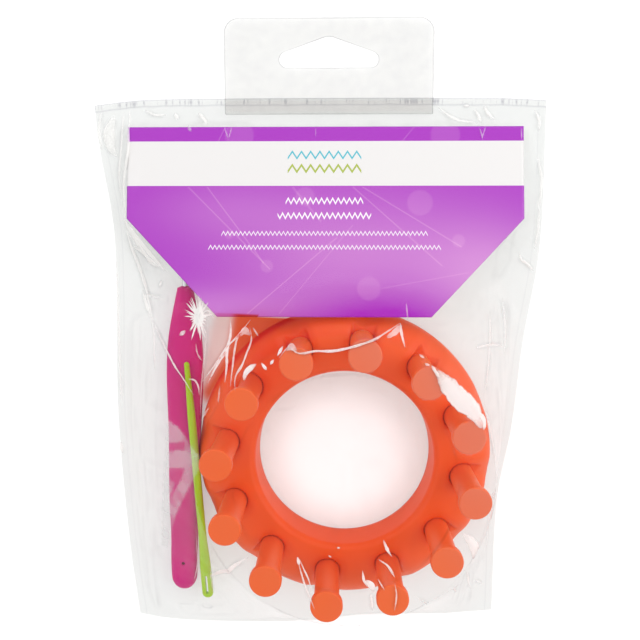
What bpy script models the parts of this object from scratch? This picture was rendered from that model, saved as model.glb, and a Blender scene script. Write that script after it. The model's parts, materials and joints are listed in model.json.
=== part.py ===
"""A twelve-peg round knitting loom with its hook and yarn needle, in a clear film pouch with a header card
and a hang tab. The pack lies on its back: X runs across it, Y up towards the hang tab, Z out of its front.
The origin is under the middle of the pack, on the surface it lies on. Lengths are in metres."""

import math

import bmesh
import bpy
import numpy as np
from mathutils import Matrix, Vector

MM = 0.001

# Clearances
GAP = 0.3 * MM                    # between two pieces that touch
PEG_FIT = 0.3 * MM                # round a peg's tail in its socket
FILM_SLACK = 0.4 * MM             # between the front film and what it is stretched over

# Films
FILM = 0.4 * MM                   # wall of the front and the back film
SIDE_WELD = 2.5 * MM
TOP_WELD = 5.9 * MM
BOTTOM_FOLD = 1.2 * MM
SHOULDER_RUN = 3.0 * MM           # from a weld to where the front film has risen off the back film
TOP_SHOULDER_RUN = 2.2 * MM       # the same, under the top weld and above the card
FILM_BULGE = 0.75                 # 1 is a straight tent from the pegs to the shoulder, less is fuller
FILM_STEPS = (1.0, 0.86, 0.7, 0.52, 0.34, 0.17, 0.0)  # shares of the way from the pegs to the shoulder

# How far each edge of the pouch is drawn in, in shares of the edge and of the pouch's width
LEFT_EDGE = ((0.0, 0.064), (0.16, 0.044), (0.42, 0.028), (0.64, 0.034))
LEFT_EDGE += ((0.78, 0.033), (0.93, 0.006), (1.0, 0.0))
RIGHT_EDGE = ((0.0, 0.085), (0.24, 0.080), (0.38, 0.052), (0.55, 0.033))
RIGHT_EDGE += ((0.7, 0.006), (0.8, 0.0), (1.0, 0.0))
BOTTOM_EDGE = ((0.0, 0.018), (0.1, 0.004), (0.35, 0.0), (0.5, 0.006))
BOTTOM_EDGE += ((0.64, 0.022), (0.85, 0.026), (1.0, 0.037))
TOP_EDGE = ((0.0, 0.014), (0.1, 0.003), (0.3, 0.0), (0.9, 0.001), (1.0, 0.006))

# Loom
LOOM_FROM_RIGHT = 15.4 * MM       # from the ring to the pouch's right edge
LOOM_CLEAR_OF_FOLD = 10.6 * MM    # from the ring to the front film's foot at the bottom
RING_OUTER_RADIUS = 48.0 * MM
RING_HOLE_RADIUS = 28.3 * MM
RING_HEIGHT = 13.0 * MM
RING_WALL = 2.3 * MM
RIM_HEIGHT = 3.4 * MM             # of the ring's outer side
SCOOP_DEPTH = 2.2 * MM            # of the hollow that each peg stands in
SCOOP_HALF_WIDTH = 7.0 * MM
SCOOP_MOST = 0.4                  # of the ring's height at that place
RING_DOME = 2.3                   # power of the dome's curve: 2 is an ellipse, more is squarer
RING_PROFILE = (0.16, 0.3, 0.42, 0.56, 0.7, 0.82, 0.91, 0.97, 1.0)  # where the dome's points are
PEG_COUNT = 12
PEG_PHASE = math.radians(21.8)
PEG_CIRCLE_RADIUS = 38.0 * MM
PEG_HEIGHT = 35.3 * MM            # of a peg's top over the ring's base
SHAFT_RADIUS = 3.85 * MM
CAP_RADIUS = 4.85 * MM
CAP_HEIGHT = 3.6 * MM
CAP_EDGE = 0.8 * MM
GROOVE_DEPTH = 0.7 * MM           # of the groove down a peg's outer side, which takes the hook's tip
GROOVE_SHARPNESS = 8              # more makes a narrower groove
BOSS_WALL = 1.2 * MM
BOSS_RECESS = 0.7 * MM            # of a boss's foot over the ring's base
SOCKET_FLOOR = 1.5 * MM

# Hook
HOOK_FROM_LEFT = 25.9 * MM        # from the pouch's left edge to the middle of the handle's foot
HOOK_CLEAR_OF_LOOM = 0.9 * MM
HOOK_ABOVE_BOTTOM = 13.8 * MM
HOOK_LEAN = math.radians(1.5)
HANDLE_LENGTH = 104.0 * MM
HANDLE_HALF_WIDTH = 5.4 * MM
HANDLE_HALF_THICKNESS = 3.0 * MM
HANDLE_END = 5.0 * MM             # length of its round end
HANDLE_STEPS = 15
# Shares of the handle's full width and thickness, at shares of its length from the round end
HANDLE_PLAN = ((0.0, 0.85), (0.15, 0.88), (0.45, 0.83), (0.64, 0.98), (0.84, 1.0), (1.0, 0.44))
HANDLE_SIDE = ((0.0, 0.8), (0.3, 0.92), (0.7, 1.0), (0.86, 1.0), (1.0, 0.78))
HANG_HOLE_RADIUS = 0.6 * MM
HANG_HOLE_UP = 10.0 * MM
PICK_RADIUS = 1.1 * MM
PICK_REACH = 29.0 * MM            # out of the handle
PICK_TAIL = 14.0 * MM             # inside the handle
PICK_BEND = 5.0 * MM              # length of its turned tip
PICK_TURN = 2.4 * MM              # sideways reach of its turned tip
PICK_TIP_SHARE = 0.62             # of its radius, at the very tip
PICK_STEPS = 5                    # round its bend

# Needle
NEEDLE_LENGTH = 80.0 * MM
NEEDLE_TIP_RADIUS = 0.8 * MM
NEEDLE_BODY_RADIUS = 1.3 * MM     # where the eye's flat end has turned round, and up to the taper
NEEDLE_TAPER_SHARE = 0.75         # of the needle's length, where it starts to taper to its tip
NEEDLE_EYE_HALF_WIDTH = 1.85 * MM
NEEDLE_EYE_HALF_THICKNESS = 0.85 * MM
NEEDLE_LEAN = math.radians(3.7)
NEEDLE_DIP = math.radians(0.9)    # its tip lies up on the hook's handle
NEEDLE_BESIDE_HOOK = 8.6 * MM     # of its eye end, right of the handle's foot
NEEDLE_BELOW_HOOK = 1.6 * MM      # of its eye end, below the handle's foot
EYE_LENGTH = 6.5 * MM
EYE_HALF_WIDTH = 0.65 * MM
EYE_FROM_END = 1.6 * MM
EYE_FLAT_SHARE = 0.12             # of the needle's length, over which its eye end is flat
EYE_NECK_SHARE = 0.3              # of the needle's length, where it has become round

# Header card
CARD_THICKNESS = 0.5 * MM
CARD_FROM_SIDES = 9.3 * MM        # from each side of the card to the pouch's edge, on average
CARD_RIGHT_OF_MIDDLE = 1.8 * MM
CARD_BELOW_WELD = 3.2 * MM
CARD_OVER_PICK = 21.1 * MM        # how far its top edge is above the pick's tip
CARD_CLEAR_OF_PEGS = 2.9 * MM
CARD_TOP_LIFT = 1.5 * MM          # of its top edge over the back film
CARD_SLOPE = math.radians(9.8)
CHAMFER_ACROSS = 29.0 * MM
CHAMFER_UP = 31.0 * MM

# Hang tab
TAB_WIDTH = 65.5 * MM
TAB_RISE = 24.0 * MM              # over the pouch's top edge
TAB_FOOT = 5.2 * MM
TAB_THICKNESS = 0.4 * MM
TAB_RIGHT_OF_MIDDLE = 3.1 * MM
TAB_CORNER = 4.5 * MM
FOLD_CLEARANCE = 0.45 * MM        # on each side of the fold's axis
ADHESIVE = 0.2 * MM
ADHESIVE_HEIGHT = 3.6 * MM
HOLE_HALF_WIDTH = 15.5 * MM
HOLE_HEIGHT = 9.3 * MM
HOLE_CORNER = 2.45 * MM
HOLE_APEX = 4.6 * MM
HOLE_ABOVE_EDGE = 9.0 * MM

# Fineness
OUTLINE_STEPS = (20, 22, 16, 22)  # along the pouch's top, right, bottom and left edges
RING_STEPS = 72
ROUND_STEPS = 16
CUTTER_STEPS = 20

# Sizes and places that follow: the pouch is as wide as the loom and the hook side by side, and as long
# as the hook under the card
HOOK_TO_RING = HANDLE_HALF_WIDTH + HOOK_CLEAR_OF_LOOM
POUCH_WIDTH = HOOK_FROM_LEFT + HOOK_TO_RING + 2 * RING_OUTER_RADIUS + LOOM_FROM_RIGHT
HOOK_LENGTH = HANDLE_LENGTH + PICK_REACH
POUCH_LENGTH = HOOK_ABOVE_BOTTOM + HOOK_LENGTH + CARD_OVER_PICK + CARD_BELOW_WELD + TOP_WELD
PACK_LENGTH = POUCH_LENGTH + TAB_RISE
BOTTOM_Y = -PACK_LENGTH / 2
TOP_Y = BOTTOM_Y + POUCH_LENGTH
CONTENTS_Z = FILM + GAP
LOOM_X = POUCH_WIDTH / 2 - LOOM_FROM_RIGHT - RING_OUTER_RADIUS
LOOM_Y = BOTTOM_Y + BOTTOM_FOLD + SHOULDER_RUN + LOOM_CLEAR_OF_FOLD + RING_OUTER_RADIUS
LOOM = Vector((LOOM_X, LOOM_Y, CONTENTS_Z))
PLATEAU_RADIUS = PEG_CIRCLE_RADIUS + CAP_RADIUS + 2 * FILM_SLACK
PLATEAU_Z = CONTENTS_Z + PEG_HEIGHT + FILM_SLACK
WELD_Z = FILM + GAP
HOOK_X = HOOK_FROM_LEFT - POUCH_WIDTH / 2
HOOK = Vector((HOOK_X, BOTTOM_Y + HOOK_ABOVE_BOTTOM, CONTENTS_Z + HANDLE_HALF_THICKNESS))
CARD_TOP_Y = TOP_Y - TOP_WELD - CARD_BELOW_WELD
CARD_TOP_Z = FILM + CARD_TOP_LIFT
CARD_BOTTOM_Y = LOOM_Y + PEG_CIRCLE_RADIUS + CAP_RADIUS + CARD_CLEAR_OF_PEGS
CARD_LENGTH = (CARD_TOP_Y - CARD_BOTTOM_Y) / math.cos(CARD_SLOPE)
CARD_WIDTH = POUCH_WIDTH - 2 * CARD_FROM_SIDES
ADHESIVE_Z = WELD_Z + FILM + GAP
TAB_Z = ADHESIVE_Z + ADHESIVE + GAP


def clear_scene():
    """Remove every object that is already in the file."""
    for thing in list(bpy.data.objects):
        bpy.data.objects.remove(thing, do_unlink=True)


def finish(name, colour, roughness, metallic=0.0, alpha=1.0):
    """A Principled material with one colour."""
    material = bpy.data.materials.new(name)
    material.use_nodes = True
    shader = material.node_tree.nodes["Principled BSDF"]
    shader.inputs["Base Color"].default_value = (*colour, 1.0)
    shader.inputs["Roughness"].default_value = roughness
    shader.inputs["Metallic"].default_value = metallic
    shader.inputs["Alpha"].default_value = alpha
    return material


def place(name, mesh, material=None, parent=None, smooth=None):
    """Put a mesh in the scene as a named object, with its faces turned outwards."""
    shell = bmesh.new()
    shell.from_mesh(mesh)
    bmesh.ops.recalc_face_normals(shell, faces=shell.faces)
    shell.to_mesh(mesh)
    shell.free()
    thing = bpy.data.objects.new(name, mesh)
    bpy.context.scene.collection.objects.link(thing)
    thing.parent = parent
    if material:
        mesh.materials.append(material)
    if smooth is not None:
        mesh.shade_smooth()
        mesh.set_sharp_from_angle(angle=math.radians(smooth))
    return thing


def frame(name, location, rotation=(0.0, 0.0, 0.0)):
    """An empty that carries the pieces of one moving body."""
    empty = bpy.data.objects.new(name, None)
    bpy.context.scene.collection.objects.link(empty)
    empty.location = location
    empty.rotation_euler = rotation
    return empty


def loops_mesh(name, loops, close_ends):
    """Mesh through closed loops of equally many points. close_ends caps the first and the last loop."""
    count = len(loops[0])
    points = [tuple(point) for loop in loops for point in loop]
    faces = []
    for row in range(len(loops) - 1):
        for column in range(count):
            after = (column + 1) % count
            here = row * count
            faces.append((here + column, here + after, here + count + after, here + count + column))
    if close_ends:
        faces.append(tuple(range(count)))
        faces.append(tuple(range((len(loops) - 1) * count, len(loops) * count)))
    mesh = bpy.data.meshes.new(name)
    mesh.from_pydata(points, [], faces)
    return mesh


def plate_mesh(name, outline, low, high, holes=()):
    """A flat plate over a plan outline, from low to high. Each hole is an outline too."""
    flat = bmesh.new()
    edges = []
    for loop in (outline, *holes):
        corners = [flat.verts.new((x, y, low)) for x, y in loop]
        edges += [flat.edges.new((corner, corners[i - 1])) for i, corner in enumerate(corners)]
    bmesh.ops.triangle_fill(flat, edges=edges, use_beauty=True, use_dissolve=False)
    lifted = bmesh.ops.extrude_face_region(flat, geom=flat.faces[:])
    top = [item for item in lifted["geom"] if isinstance(item, bmesh.types.BMVert)]
    bmesh.ops.translate(flat, verts=top, vec=(0.0, 0.0, high - low))
    mesh = bpy.data.meshes.new(name)
    flat.to_mesh(mesh)
    flat.free()
    return mesh


def cylinder(name, radius, low, high, at=(0.0, 0.0)):
    """An upright cylinder's mesh."""
    angles = [2 * math.pi * i / CUTTER_STEPS for i in range(CUTTER_STEPS)]
    ring = [(at[0] + radius * math.cos(angle), at[1] + radius * math.sin(angle)) for angle in angles]
    return plate_mesh(name, ring, low, high)


def combine(target, tool, operation):
    """Boolean of target with a hidden tool object."""
    tool.hide_render = True
    tool.display_type = "WIRE"
    step = target.modifiers.new(tool.name, "BOOLEAN")
    step.operation = operation
    step.object = tool
    step.solver = "EXACT"


def eased(table, share):
    """Value of a table of (share, value) pairs, with an S-curve from each pair to the next."""
    for (start, first), (end, last) in zip(table, table[1:]):
        if share <= end:
            along = max(0.0, (share - start) / (end - start))
            return first + (last - first) * along * along * (3 - 2 * along)
    return table[-1][1]


def flowing(table, share):
    """Value of a table of (share, value) pairs, on one smooth curve through all of them."""
    slopes = []
    for i in range(len(table)):
        before = table[max(0, i - 1)]
        after = table[min(len(table) - 1, i + 1)]
        slopes.append((after[1] - before[1]) / (after[0] - before[0]))
    for i, ((start, first), (end, last)) in enumerate(zip(table, table[1:])):
        if share <= end:
            run = end - start
            along = max(0.0, (share - start) / run)
            back = 1 - along
            sides = first * (1 + 2 * along) * back * back + last * (1 + 2 * back) * along * along
            return sides + run * along * back * (slopes[i] * back - slopes[i + 1] * along)
    return table[-1][1]


def pouch_point(across, up):
    """Point of the pouch's plan, from shares of its width (from the left) and length (from the bottom)."""
    left = POUCH_WIDTH * (-0.5 + flowing(LEFT_EDGE, up))
    right = POUCH_WIDTH * (0.5 - flowing(RIGHT_EDGE, up))
    bottom = BOTTOM_Y + POUCH_WIDTH * flowing(BOTTOM_EDGE, across)
    top = TOP_Y - POUCH_WIDTH * flowing(TOP_EDGE, across)
    return Vector((left + across * (right - left), bottom + up * (top - bottom)))


def pouch_loop(side=0.0, bottom=0.0, top=0.0):
    """The pouch's outline, clockwise from its top left corner, moved in by these lengths."""
    steps = OUTLINE_STEPS
    square = [(i / steps[0], 1.0) for i in range(steps[0])]
    square += [(1.0, 1 - i / steps[1]) for i in range(steps[1])]
    square += [(1 - i / steps[2], 0.0) for i in range(steps[2])]
    square += [(0.0, i / steps[3]) for i in range(steps[3])]
    margin = side / POUCH_WIDTH
    low = bottom / POUCH_LENGTH
    high = 1 - top / POUCH_LENGTH
    width = 1 - 2 * margin
    return [pouch_point(margin + across * width, low + up * (high - low)) for across, up in square]


def card_z(y):
    """Height of the header card's underside at this place up the pack."""
    return CARD_TOP_Z + (CARD_TOP_Y - y) * math.tan(CARD_SLOPE)


def shoulder_z(y):
    """Height of the front film just inside the welds: over the card at the top, over the hook below it."""
    over_hook = CONTENTS_Z + 2 * HANDLE_HALF_THICKNESS + FILM_SLACK
    card_corner_y = CARD_TOP_Y - (CARD_LENGTH - CHAMFER_UP) * math.cos(CARD_SLOPE)
    over_card = card_z(max(y, card_corner_y)) + CARD_THICKNESS + FILM_SLACK
    return max(over_card, over_hook) if y < card_corner_y else over_card


def make_back_film(material):
    """The pouch's back: a flat film of the pouch's outline."""
    return place("pouch_back_film", plate_mesh("pouch_back_film", pouch_loop(), 0.0, FILM), material)


def make_front_film(material):
    """The pouch's front: flat along its welds, then stretched up over the card and level over the pegs."""
    outline = pouch_loop()
    weld = pouch_loop(SIDE_WELD, BOTTOM_FOLD, TOP_WELD)
    shoulder = pouch_loop(SIDE_WELD + SHOULDER_RUN, BOTTOM_FOLD + SHOULDER_RUN, TOP_WELD + TOP_SHOULDER_RUN)
    middle = LOOM.to_2d()
    loops = [
        [(point.x, point.y, WELD_Z) for point in outline],
        [(point.x, point.y, WELD_Z) for point in weld],
    ]
    for share in FILM_STEPS:
        loop = []
        for point in shoulder:
            foot = middle + (point - middle).normalized() * PLATEAU_RADIUS
            spot = foot.lerp(point, share)
            low = shoulder_z(point.y)
            loop.append((spot.x, spot.y, low + (PLATEAU_Z - low) * (1 - share) ** FILM_BULGE))
        loops.append(loop)
    mesh = loops_mesh("pouch_front_film", loops, False)
    sheet = bmesh.new()
    sheet.from_mesh(mesh)
    sheet.verts.ensure_lookup_table()
    last = sheet.verts[-len(shoulder):]
    centre = sheet.verts.new((middle.x, middle.y, PLATEAU_Z))
    for i, corner in enumerate(last):
        sheet.faces.new((last[i - 1], corner, centre))
    bmesh.ops.recalc_face_normals(sheet, faces=sheet.faces)
    if sum(face.normal.z for face in sheet.faces) < 0:
        bmesh.ops.reverse_faces(sheet, faces=sheet.faces)
    bmesh.ops.solidify(sheet, geom=sheet.faces[:], thickness=-FILM)
    sheet.to_mesh(mesh)
    sheet.free()
    return place("pouch_front_film", mesh, material)


def ring_top(radius):
    """Height of the ring's top between the scoops: an ellipse falling from the crest to the rim."""
    crest = RING_HOLE_RADIUS + RING_WALL
    share = max(0.0, (radius - crest) / (RING_OUTER_RADIUS - crest))
    return RIM_HEIGHT + (RING_HEIGHT - RIM_HEIGHT) * math.sqrt(max(0.0, 1 - share ** RING_DOME))


def scoop(radius, angle):
    """Depth of the scoop at this place of the ring's top."""
    pitch = 2 * math.pi / PEG_COUNT
    off = (angle - PEG_PHASE + pitch / 2) % pitch - pitch / 2
    aside = abs(off) * radius / SCOOP_HALF_WIDTH
    start = PEG_CIRCLE_RADIUS - 1.5 * SHAFT_RADIUS
    along = min(1.0, max(0.0, (radius - start) / (PEG_CIRCLE_RADIUS - start)))
    if aside >= 1:
        return 0.0
    return SCOOP_DEPTH * (0.5 + 0.5 * math.cos(math.pi * aside)) * along * along * (3 - 2 * along)


def make_ring(material, parent):
    """The loom's ring: a domed shell, hollow below, with a socket in a boss for each peg."""
    crest = RING_HOLE_RADIUS + RING_WALL
    inner = RING_HOLE_RADIUS + RING_WALL * 0.9
    outer = RING_OUTER_RADIUS - RING_WALL
    ceiling = PEG_CIRCLE_RADIUS
    profile = [(inner, 0.0), (RING_HOLE_RADIUS, 0.0)]
    profile += [(RING_HOLE_RADIUS + 0.1 * RING_WALL, RING_HEIGHT - RING_WALL)]
    profile += [(RING_HOLE_RADIUS + 0.4 * RING_WALL, RING_HEIGHT - 0.3 * RING_WALL), (crest, RING_HEIGHT)]
    top_start = len(profile)
    for share in RING_PROFILE:
        radius = crest + (RING_OUTER_RADIUS - crest) * share
        profile.append((radius, ring_top(radius)))
    top_end = len(profile)
    profile += [(RING_OUTER_RADIUS, 0.0), (outer, 0.0), (outer, RIM_HEIGHT * 0.5)]
    boss_radius = SHAFT_RADIUS + PEG_FIT + BOSS_WALL
    low = ring_top(ceiling + boss_radius) - SCOOP_DEPTH - RING_WALL / 2
    profile += [((ceiling + outer) / 2, (low + RIM_HEIGHT) / 2), (ceiling, low), (inner, low)]
    loops = []
    for step in range(RING_STEPS):
        angle = PEG_PHASE + 2 * math.pi * step / RING_STEPS
        loop = []
        for i, (radius, height) in enumerate(profile):
            dip = scoop(radius, angle) if top_start <= i < top_end else 0.0
            dip = min(dip, height * SCOOP_MOST)
            loop.append((radius * math.cos(angle), radius * math.sin(angle), height - dip))
        loops.append(loop)
    loops.append(loops[0])
    mesh = loops_mesh("loom_ring", loops, False)
    sewn = bmesh.new()
    sewn.from_mesh(mesh)
    bmesh.ops.remove_doubles(sewn, verts=sewn.verts, dist=1e-7)
    sewn.to_mesh(mesh)
    sewn.free()
    ring = place("loom_ring", mesh, material, parent, smooth=35)
    boss_top = low + RING_WALL / 4
    socket_radius = SHAFT_RADIUS + PEG_FIT
    bosses = peg_posts("socket_bosses", boss_radius, BOSS_RECESS, boss_top, parent)
    sockets = peg_posts("peg_sockets", socket_radius, BOSS_RECESS + SOCKET_FLOOR, 2 * RING_HEIGHT, parent)
    combine(ring, bosses, "UNION")
    combine(ring, sockets, "DIFFERENCE")
    return ring


def peg_places():
    """Where the pegs stand, round the ring's centre, with each one's outward angle."""
    for i in range(PEG_COUNT):
        angle = PEG_PHASE + 2 * math.pi * i / PEG_COUNT
        yield PEG_CIRCLE_RADIUS * math.cos(angle), PEG_CIRCLE_RADIUS * math.sin(angle), angle


def peg_posts(name, radius, low, high, parent):
    """One tool object with an upright cylinder at each peg."""
    whole = bmesh.new()
    for x, y, _ in peg_places():
        whole.from_mesh(cylinder(name, radius, low, high, (x, y)))
    mesh = bpy.data.meshes.new(name)
    whole.to_mesh(mesh)
    whole.free()
    return place(name, mesh, parent=parent)


def peg_mesh():
    """A peg with its groove towards +X: a round shaft, a flared neck and a flat round cap."""
    tail = BOSS_RECESS + SOCKET_FLOOR + PEG_FIT
    neck = PEG_HEIGHT - CAP_HEIGHT
    stations = [
        (SHAFT_RADIUS - CAP_EDGE, tail, False),
        (SHAFT_RADIUS, tail + CAP_EDGE, False),
        (SHAFT_RADIUS, RING_HEIGHT - CAP_EDGE, False),
        (SHAFT_RADIUS, RING_HEIGHT + CAP_EDGE, True),
        (SHAFT_RADIUS, neck - 3 * CAP_EDGE, True),
        (SHAFT_RADIUS, neck - CAP_EDGE, False),
        (CAP_RADIUS - CAP_EDGE / 4, neck + CAP_EDGE, False),
        (CAP_RADIUS, neck + 2 * CAP_EDGE, False),
        (CAP_RADIUS, PEG_HEIGHT - CAP_EDGE, False),
        (CAP_RADIUS - CAP_EDGE / 3, PEG_HEIGHT - CAP_EDGE / 3, False),
        (CAP_RADIUS - CAP_EDGE, PEG_HEIGHT, False),
    ]
    loops = []
    for radius, height, grooved in stations:
        loop = []
        for step in range(ROUND_STEPS):
            angle = 2 * math.pi * step / ROUND_STEPS
            facing = max(0.0, math.cos(angle)) ** GROOVE_SHARPNESS
            reach = radius - GROOVE_DEPTH * facing if grooved else radius
            loop.append((reach * math.cos(angle), reach * math.sin(angle), height))
        loops.append(loop)
    return loops_mesh("peg", loops, True)


def make_pegs(material, parent):
    """The pegs, each pressed into its socket with its groove outwards."""
    for i, (x, y, angle) in enumerate(peg_places(), start=1):
        peg = place(f"peg_{i:02d}", peg_mesh(), material, parent, smooth=35)
        peg.location = (x, y, 0.0)
        peg.rotation_euler = (0.0, 0.0, angle)


def handle_size(along):
    """Half width and half thickness of the hook's handle at this length from its round end."""
    end = math.sqrt(max(0.0, 1 - max(0.0, 1 - along / HANDLE_END) ** 2))
    share = along / HANDLE_LENGTH
    wide = HANDLE_HALF_WIDTH * eased(HANDLE_PLAN, share)
    thick = HANDLE_HALF_THICKNESS * eased(HANDLE_SIDE, share)
    return wide * end, thick * end


def bar_mesh(name, lengths, size):
    """A bar along +Y with an oval section, whose half sizes size(length) gives."""
    angles = [2 * math.pi * i / ROUND_STEPS for i in range(ROUND_STEPS)]
    loops = []
    for along in lengths:
        wide, thick = size(along)
        loops.append([(wide * math.cos(angle), along, thick * math.sin(angle)) for angle in angles])
    return loops_mesh(name, loops, True)


def make_hook(plastic, steel, parent):
    """The loom hook: a moulded handle and the steel pick that is set in it."""
    lengths = [HANDLE_END * share for share in (0.02, 0.12, 0.3, 0.6)]
    rest = HANDLE_LENGTH - HANDLE_END
    lengths += [HANDLE_END + rest * i / HANDLE_STEPS for i in range(HANDLE_STEPS + 1)]
    handle = place("hook_handle", bar_mesh("hook_handle", lengths, handle_size), plastic, parent, smooth=40)
    through = 2 * HANDLE_HALF_THICKNESS
    hang_hole = cylinder("hang_hole", HANG_HOLE_RADIUS, -through, through, (0.0, HANG_HOLE_UP))
    combine(handle, place("hang_hole", hang_hole, parent=parent), "DIFFERENCE")
    bore_radius = PICK_RADIUS + GAP
    bore_lengths = (HANDLE_LENGTH - PICK_TAIL - GAP, HANDLE_LENGTH + PICK_TAIL)
    bore_mesh = bar_mesh("pick_bore", bore_lengths, lambda along: (bore_radius, bore_radius))
    combine(handle, place("pick_bore", bore_mesh, parent=parent), "DIFFERENCE")
    place("hook_pick", pick_mesh(), steel, parent, smooth=40)


def pick_mesh():
    """The pick: a round rod along +Y whose tip bends aside."""
    straight = HANDLE_LENGTH + PICK_REACH - PICK_BEND
    route = [(0.0, HANDLE_LENGTH - PICK_TAIL), (0.0, HANDLE_LENGTH), (0.0, straight)]
    for i in range(1, PICK_STEPS + 1):
        share = i / PICK_STEPS
        route.append((PICK_TURN * share ** 2, straight + PICK_BEND * share))
    angles = [2 * math.pi * i / ROUND_STEPS for i in range(ROUND_STEPS)]
    loops = []
    for i, (x, y) in enumerate(route):
        before = Vector(route[max(0, i - 1)])
        after = Vector(route[min(len(route) - 1, i + 1)])
        side = (after - before).orthogonal().normalized()
        radius = PICK_RADIUS * (PICK_TIP_SHARE if i == len(route) - 1 else 1.0)
        loop = []
        for angle in angles:
            reach = radius * math.cos(angle)
            loop.append((x + side.x * reach, y + side.y * reach, radius * math.sin(angle)))
        loops.append(loop)
    return loops_mesh("hook_pick", loops, True)


def needle_size(along):
    """Half width and half thickness of the needle at this length from its eye end."""
    share = along / NEEDLE_LENGTH
    body = ((EYE_NECK_SHARE, NEEDLE_BODY_RADIUS), (NEEDLE_TAPER_SHARE, NEEDLE_BODY_RADIUS))
    sizes = []
    for at_eye in (NEEDLE_EYE_HALF_WIDTH, NEEDLE_EYE_HALF_THICKNESS):
        table = ((0.0, at_eye), (EYE_FLAT_SHARE, at_eye), *body, (1.0, NEEDLE_TIP_RADIUS))
        sizes.append(eased(table, share))
    eye_end = math.sqrt(max(0.0, 1 - max(0.0, 1 - along / NEEDLE_EYE_HALF_WIDTH) ** 2))
    tip = NEEDLE_LENGTH - along
    tip_end = math.sqrt(max(0.0, 1 - max(0.0, 1 - tip / NEEDLE_TIP_RADIUS) ** 2))
    return sizes[0] * eye_end * tip_end, sizes[1] * eye_end * tip_end


def make_needle(plastic, parent):
    """The yarn needle: a blunt tapered pin with a slot for an eye in its flattened end."""
    lengths = [NEEDLE_EYE_HALF_WIDTH * share for share in (0.04, 0.3, 0.65, 1.0)]
    lengths += [NEEDLE_LENGTH * share for share in (0.07, 0.12, 0.18, 0.24, 0.3, 0.5, 0.75, 0.83, 0.92)]
    lengths += [NEEDLE_LENGTH - NEEDLE_TIP_RADIUS * share for share in (1.0, 0.6, 0.25, 0.04)]
    needle = place("yarn_needle", bar_mesh("yarn_needle", lengths, needle_size), plastic, parent, smooth=40)
    first = EYE_FROM_END + EYE_HALF_WIDTH
    last = EYE_FROM_END + EYE_LENGTH - EYE_HALF_WIDTH
    slot = hull_of_discs([(0.0, first, EYE_HALF_WIDTH), (0.0, last, EYE_HALF_WIDTH)])
    eye = plate_mesh("needle_eye", slot, -3 * NEEDLE_EYE_HALF_THICKNESS, 3 * NEEDLE_EYE_HALF_THICKNESS)
    combine(needle, place("needle_eye", eye, parent=parent), "DIFFERENCE")


def make_card(material):
    """The header card: a flat sheet with its lower corners cut off, rising from the top weld to the loom."""
    half = CARD_WIDTH / 2
    cut_y = CHAMFER_UP - CARD_LENGTH
    cut_x = half - CHAMFER_ACROSS
    outline = [(-half, 0.0), (half, 0.0), (half, cut_y)]
    outline += [(cut_x, -CARD_LENGTH), (-cut_x, -CARD_LENGTH), (-half, cut_y)]
    card = place("header_card", plate_mesh("header_card", outline, 0.0, CARD_THICKNESS), material)
    card.location = (CARD_RIGHT_OF_MIDDLE, CARD_TOP_Y, CARD_TOP_Z)
    card.rotation_euler = (-CARD_SLOPE, 0.0, 0.0)


def hull_of_discs(discs):
    """Outline round discs of (x, y, radius): in each direction, the point of a disc that reaches furthest."""
    outline = []
    for step in range(2 * CUTTER_STEPS):
        angle = math.pi * (step + 0.5) / CUTTER_STEPS
        across, up = math.cos(angle), math.sin(angle)
        x, y, radius = max(discs, key=lambda disc: disc[0] * across + disc[1] * up + disc[2])
        outline.append((x + radius * across, y + radius * up))
    return outline


def make_hang_tab(film, adhesive, parent):
    """The hang tab: a foot stuck to the top weld, and a flag with a delta hole that folds over the edge."""
    half = TAB_WIDTH / 2
    corner = half - TAB_CORNER
    shoulder = TAB_RISE - TAB_CORNER
    rounded = hull_of_discs([(-corner, shoulder, TAB_CORNER), (corner, shoulder, TAB_CORNER)])
    flag_outline = [(x, y) for x, y in rounded if y > shoulder]
    flag_outline += [(-half, FOLD_CLEARANCE), (half, FOLD_CLEARANCE)]
    side_x = HOLE_HALF_WIDTH - HOLE_CORNER
    side_y = HOLE_ABOVE_EDGE + HOLE_CORNER
    apex_y = HOLE_ABOVE_EDGE + HOLE_HEIGHT - HOLE_APEX
    discs = [(-side_x, side_y, HOLE_CORNER), (side_x, side_y, HOLE_CORNER), (0.0, apex_y, HOLE_APEX)]
    hole = hull_of_discs(discs)
    thick = TAB_THICKNESS / 2
    place("hang_tab", plate_mesh("hang_tab", flag_outline, -thick, thick, [hole]), film, parent)
    foot = [(-half, -TAB_FOOT), (half, -TAB_FOOT), (half, -FOLD_CLEARANCE), (-half, -FOLD_CLEARANCE)]
    place("hang_tab_foot", plate_mesh("hang_tab_foot", foot, -thick, thick), film, parent)
    end = half - GAP
    high = -FOLD_CLEARANCE - GAP
    low = high - ADHESIVE_HEIGHT
    strip = [(-end, low), (end, low), (end, high), (-end, high)]
    strip_z = -thick - GAP - ADHESIVE
    place("tab_adhesive", plate_mesh("tab_adhesive", strip, strip_z, strip_z + ADHESIVE), adhesive, parent)


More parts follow.
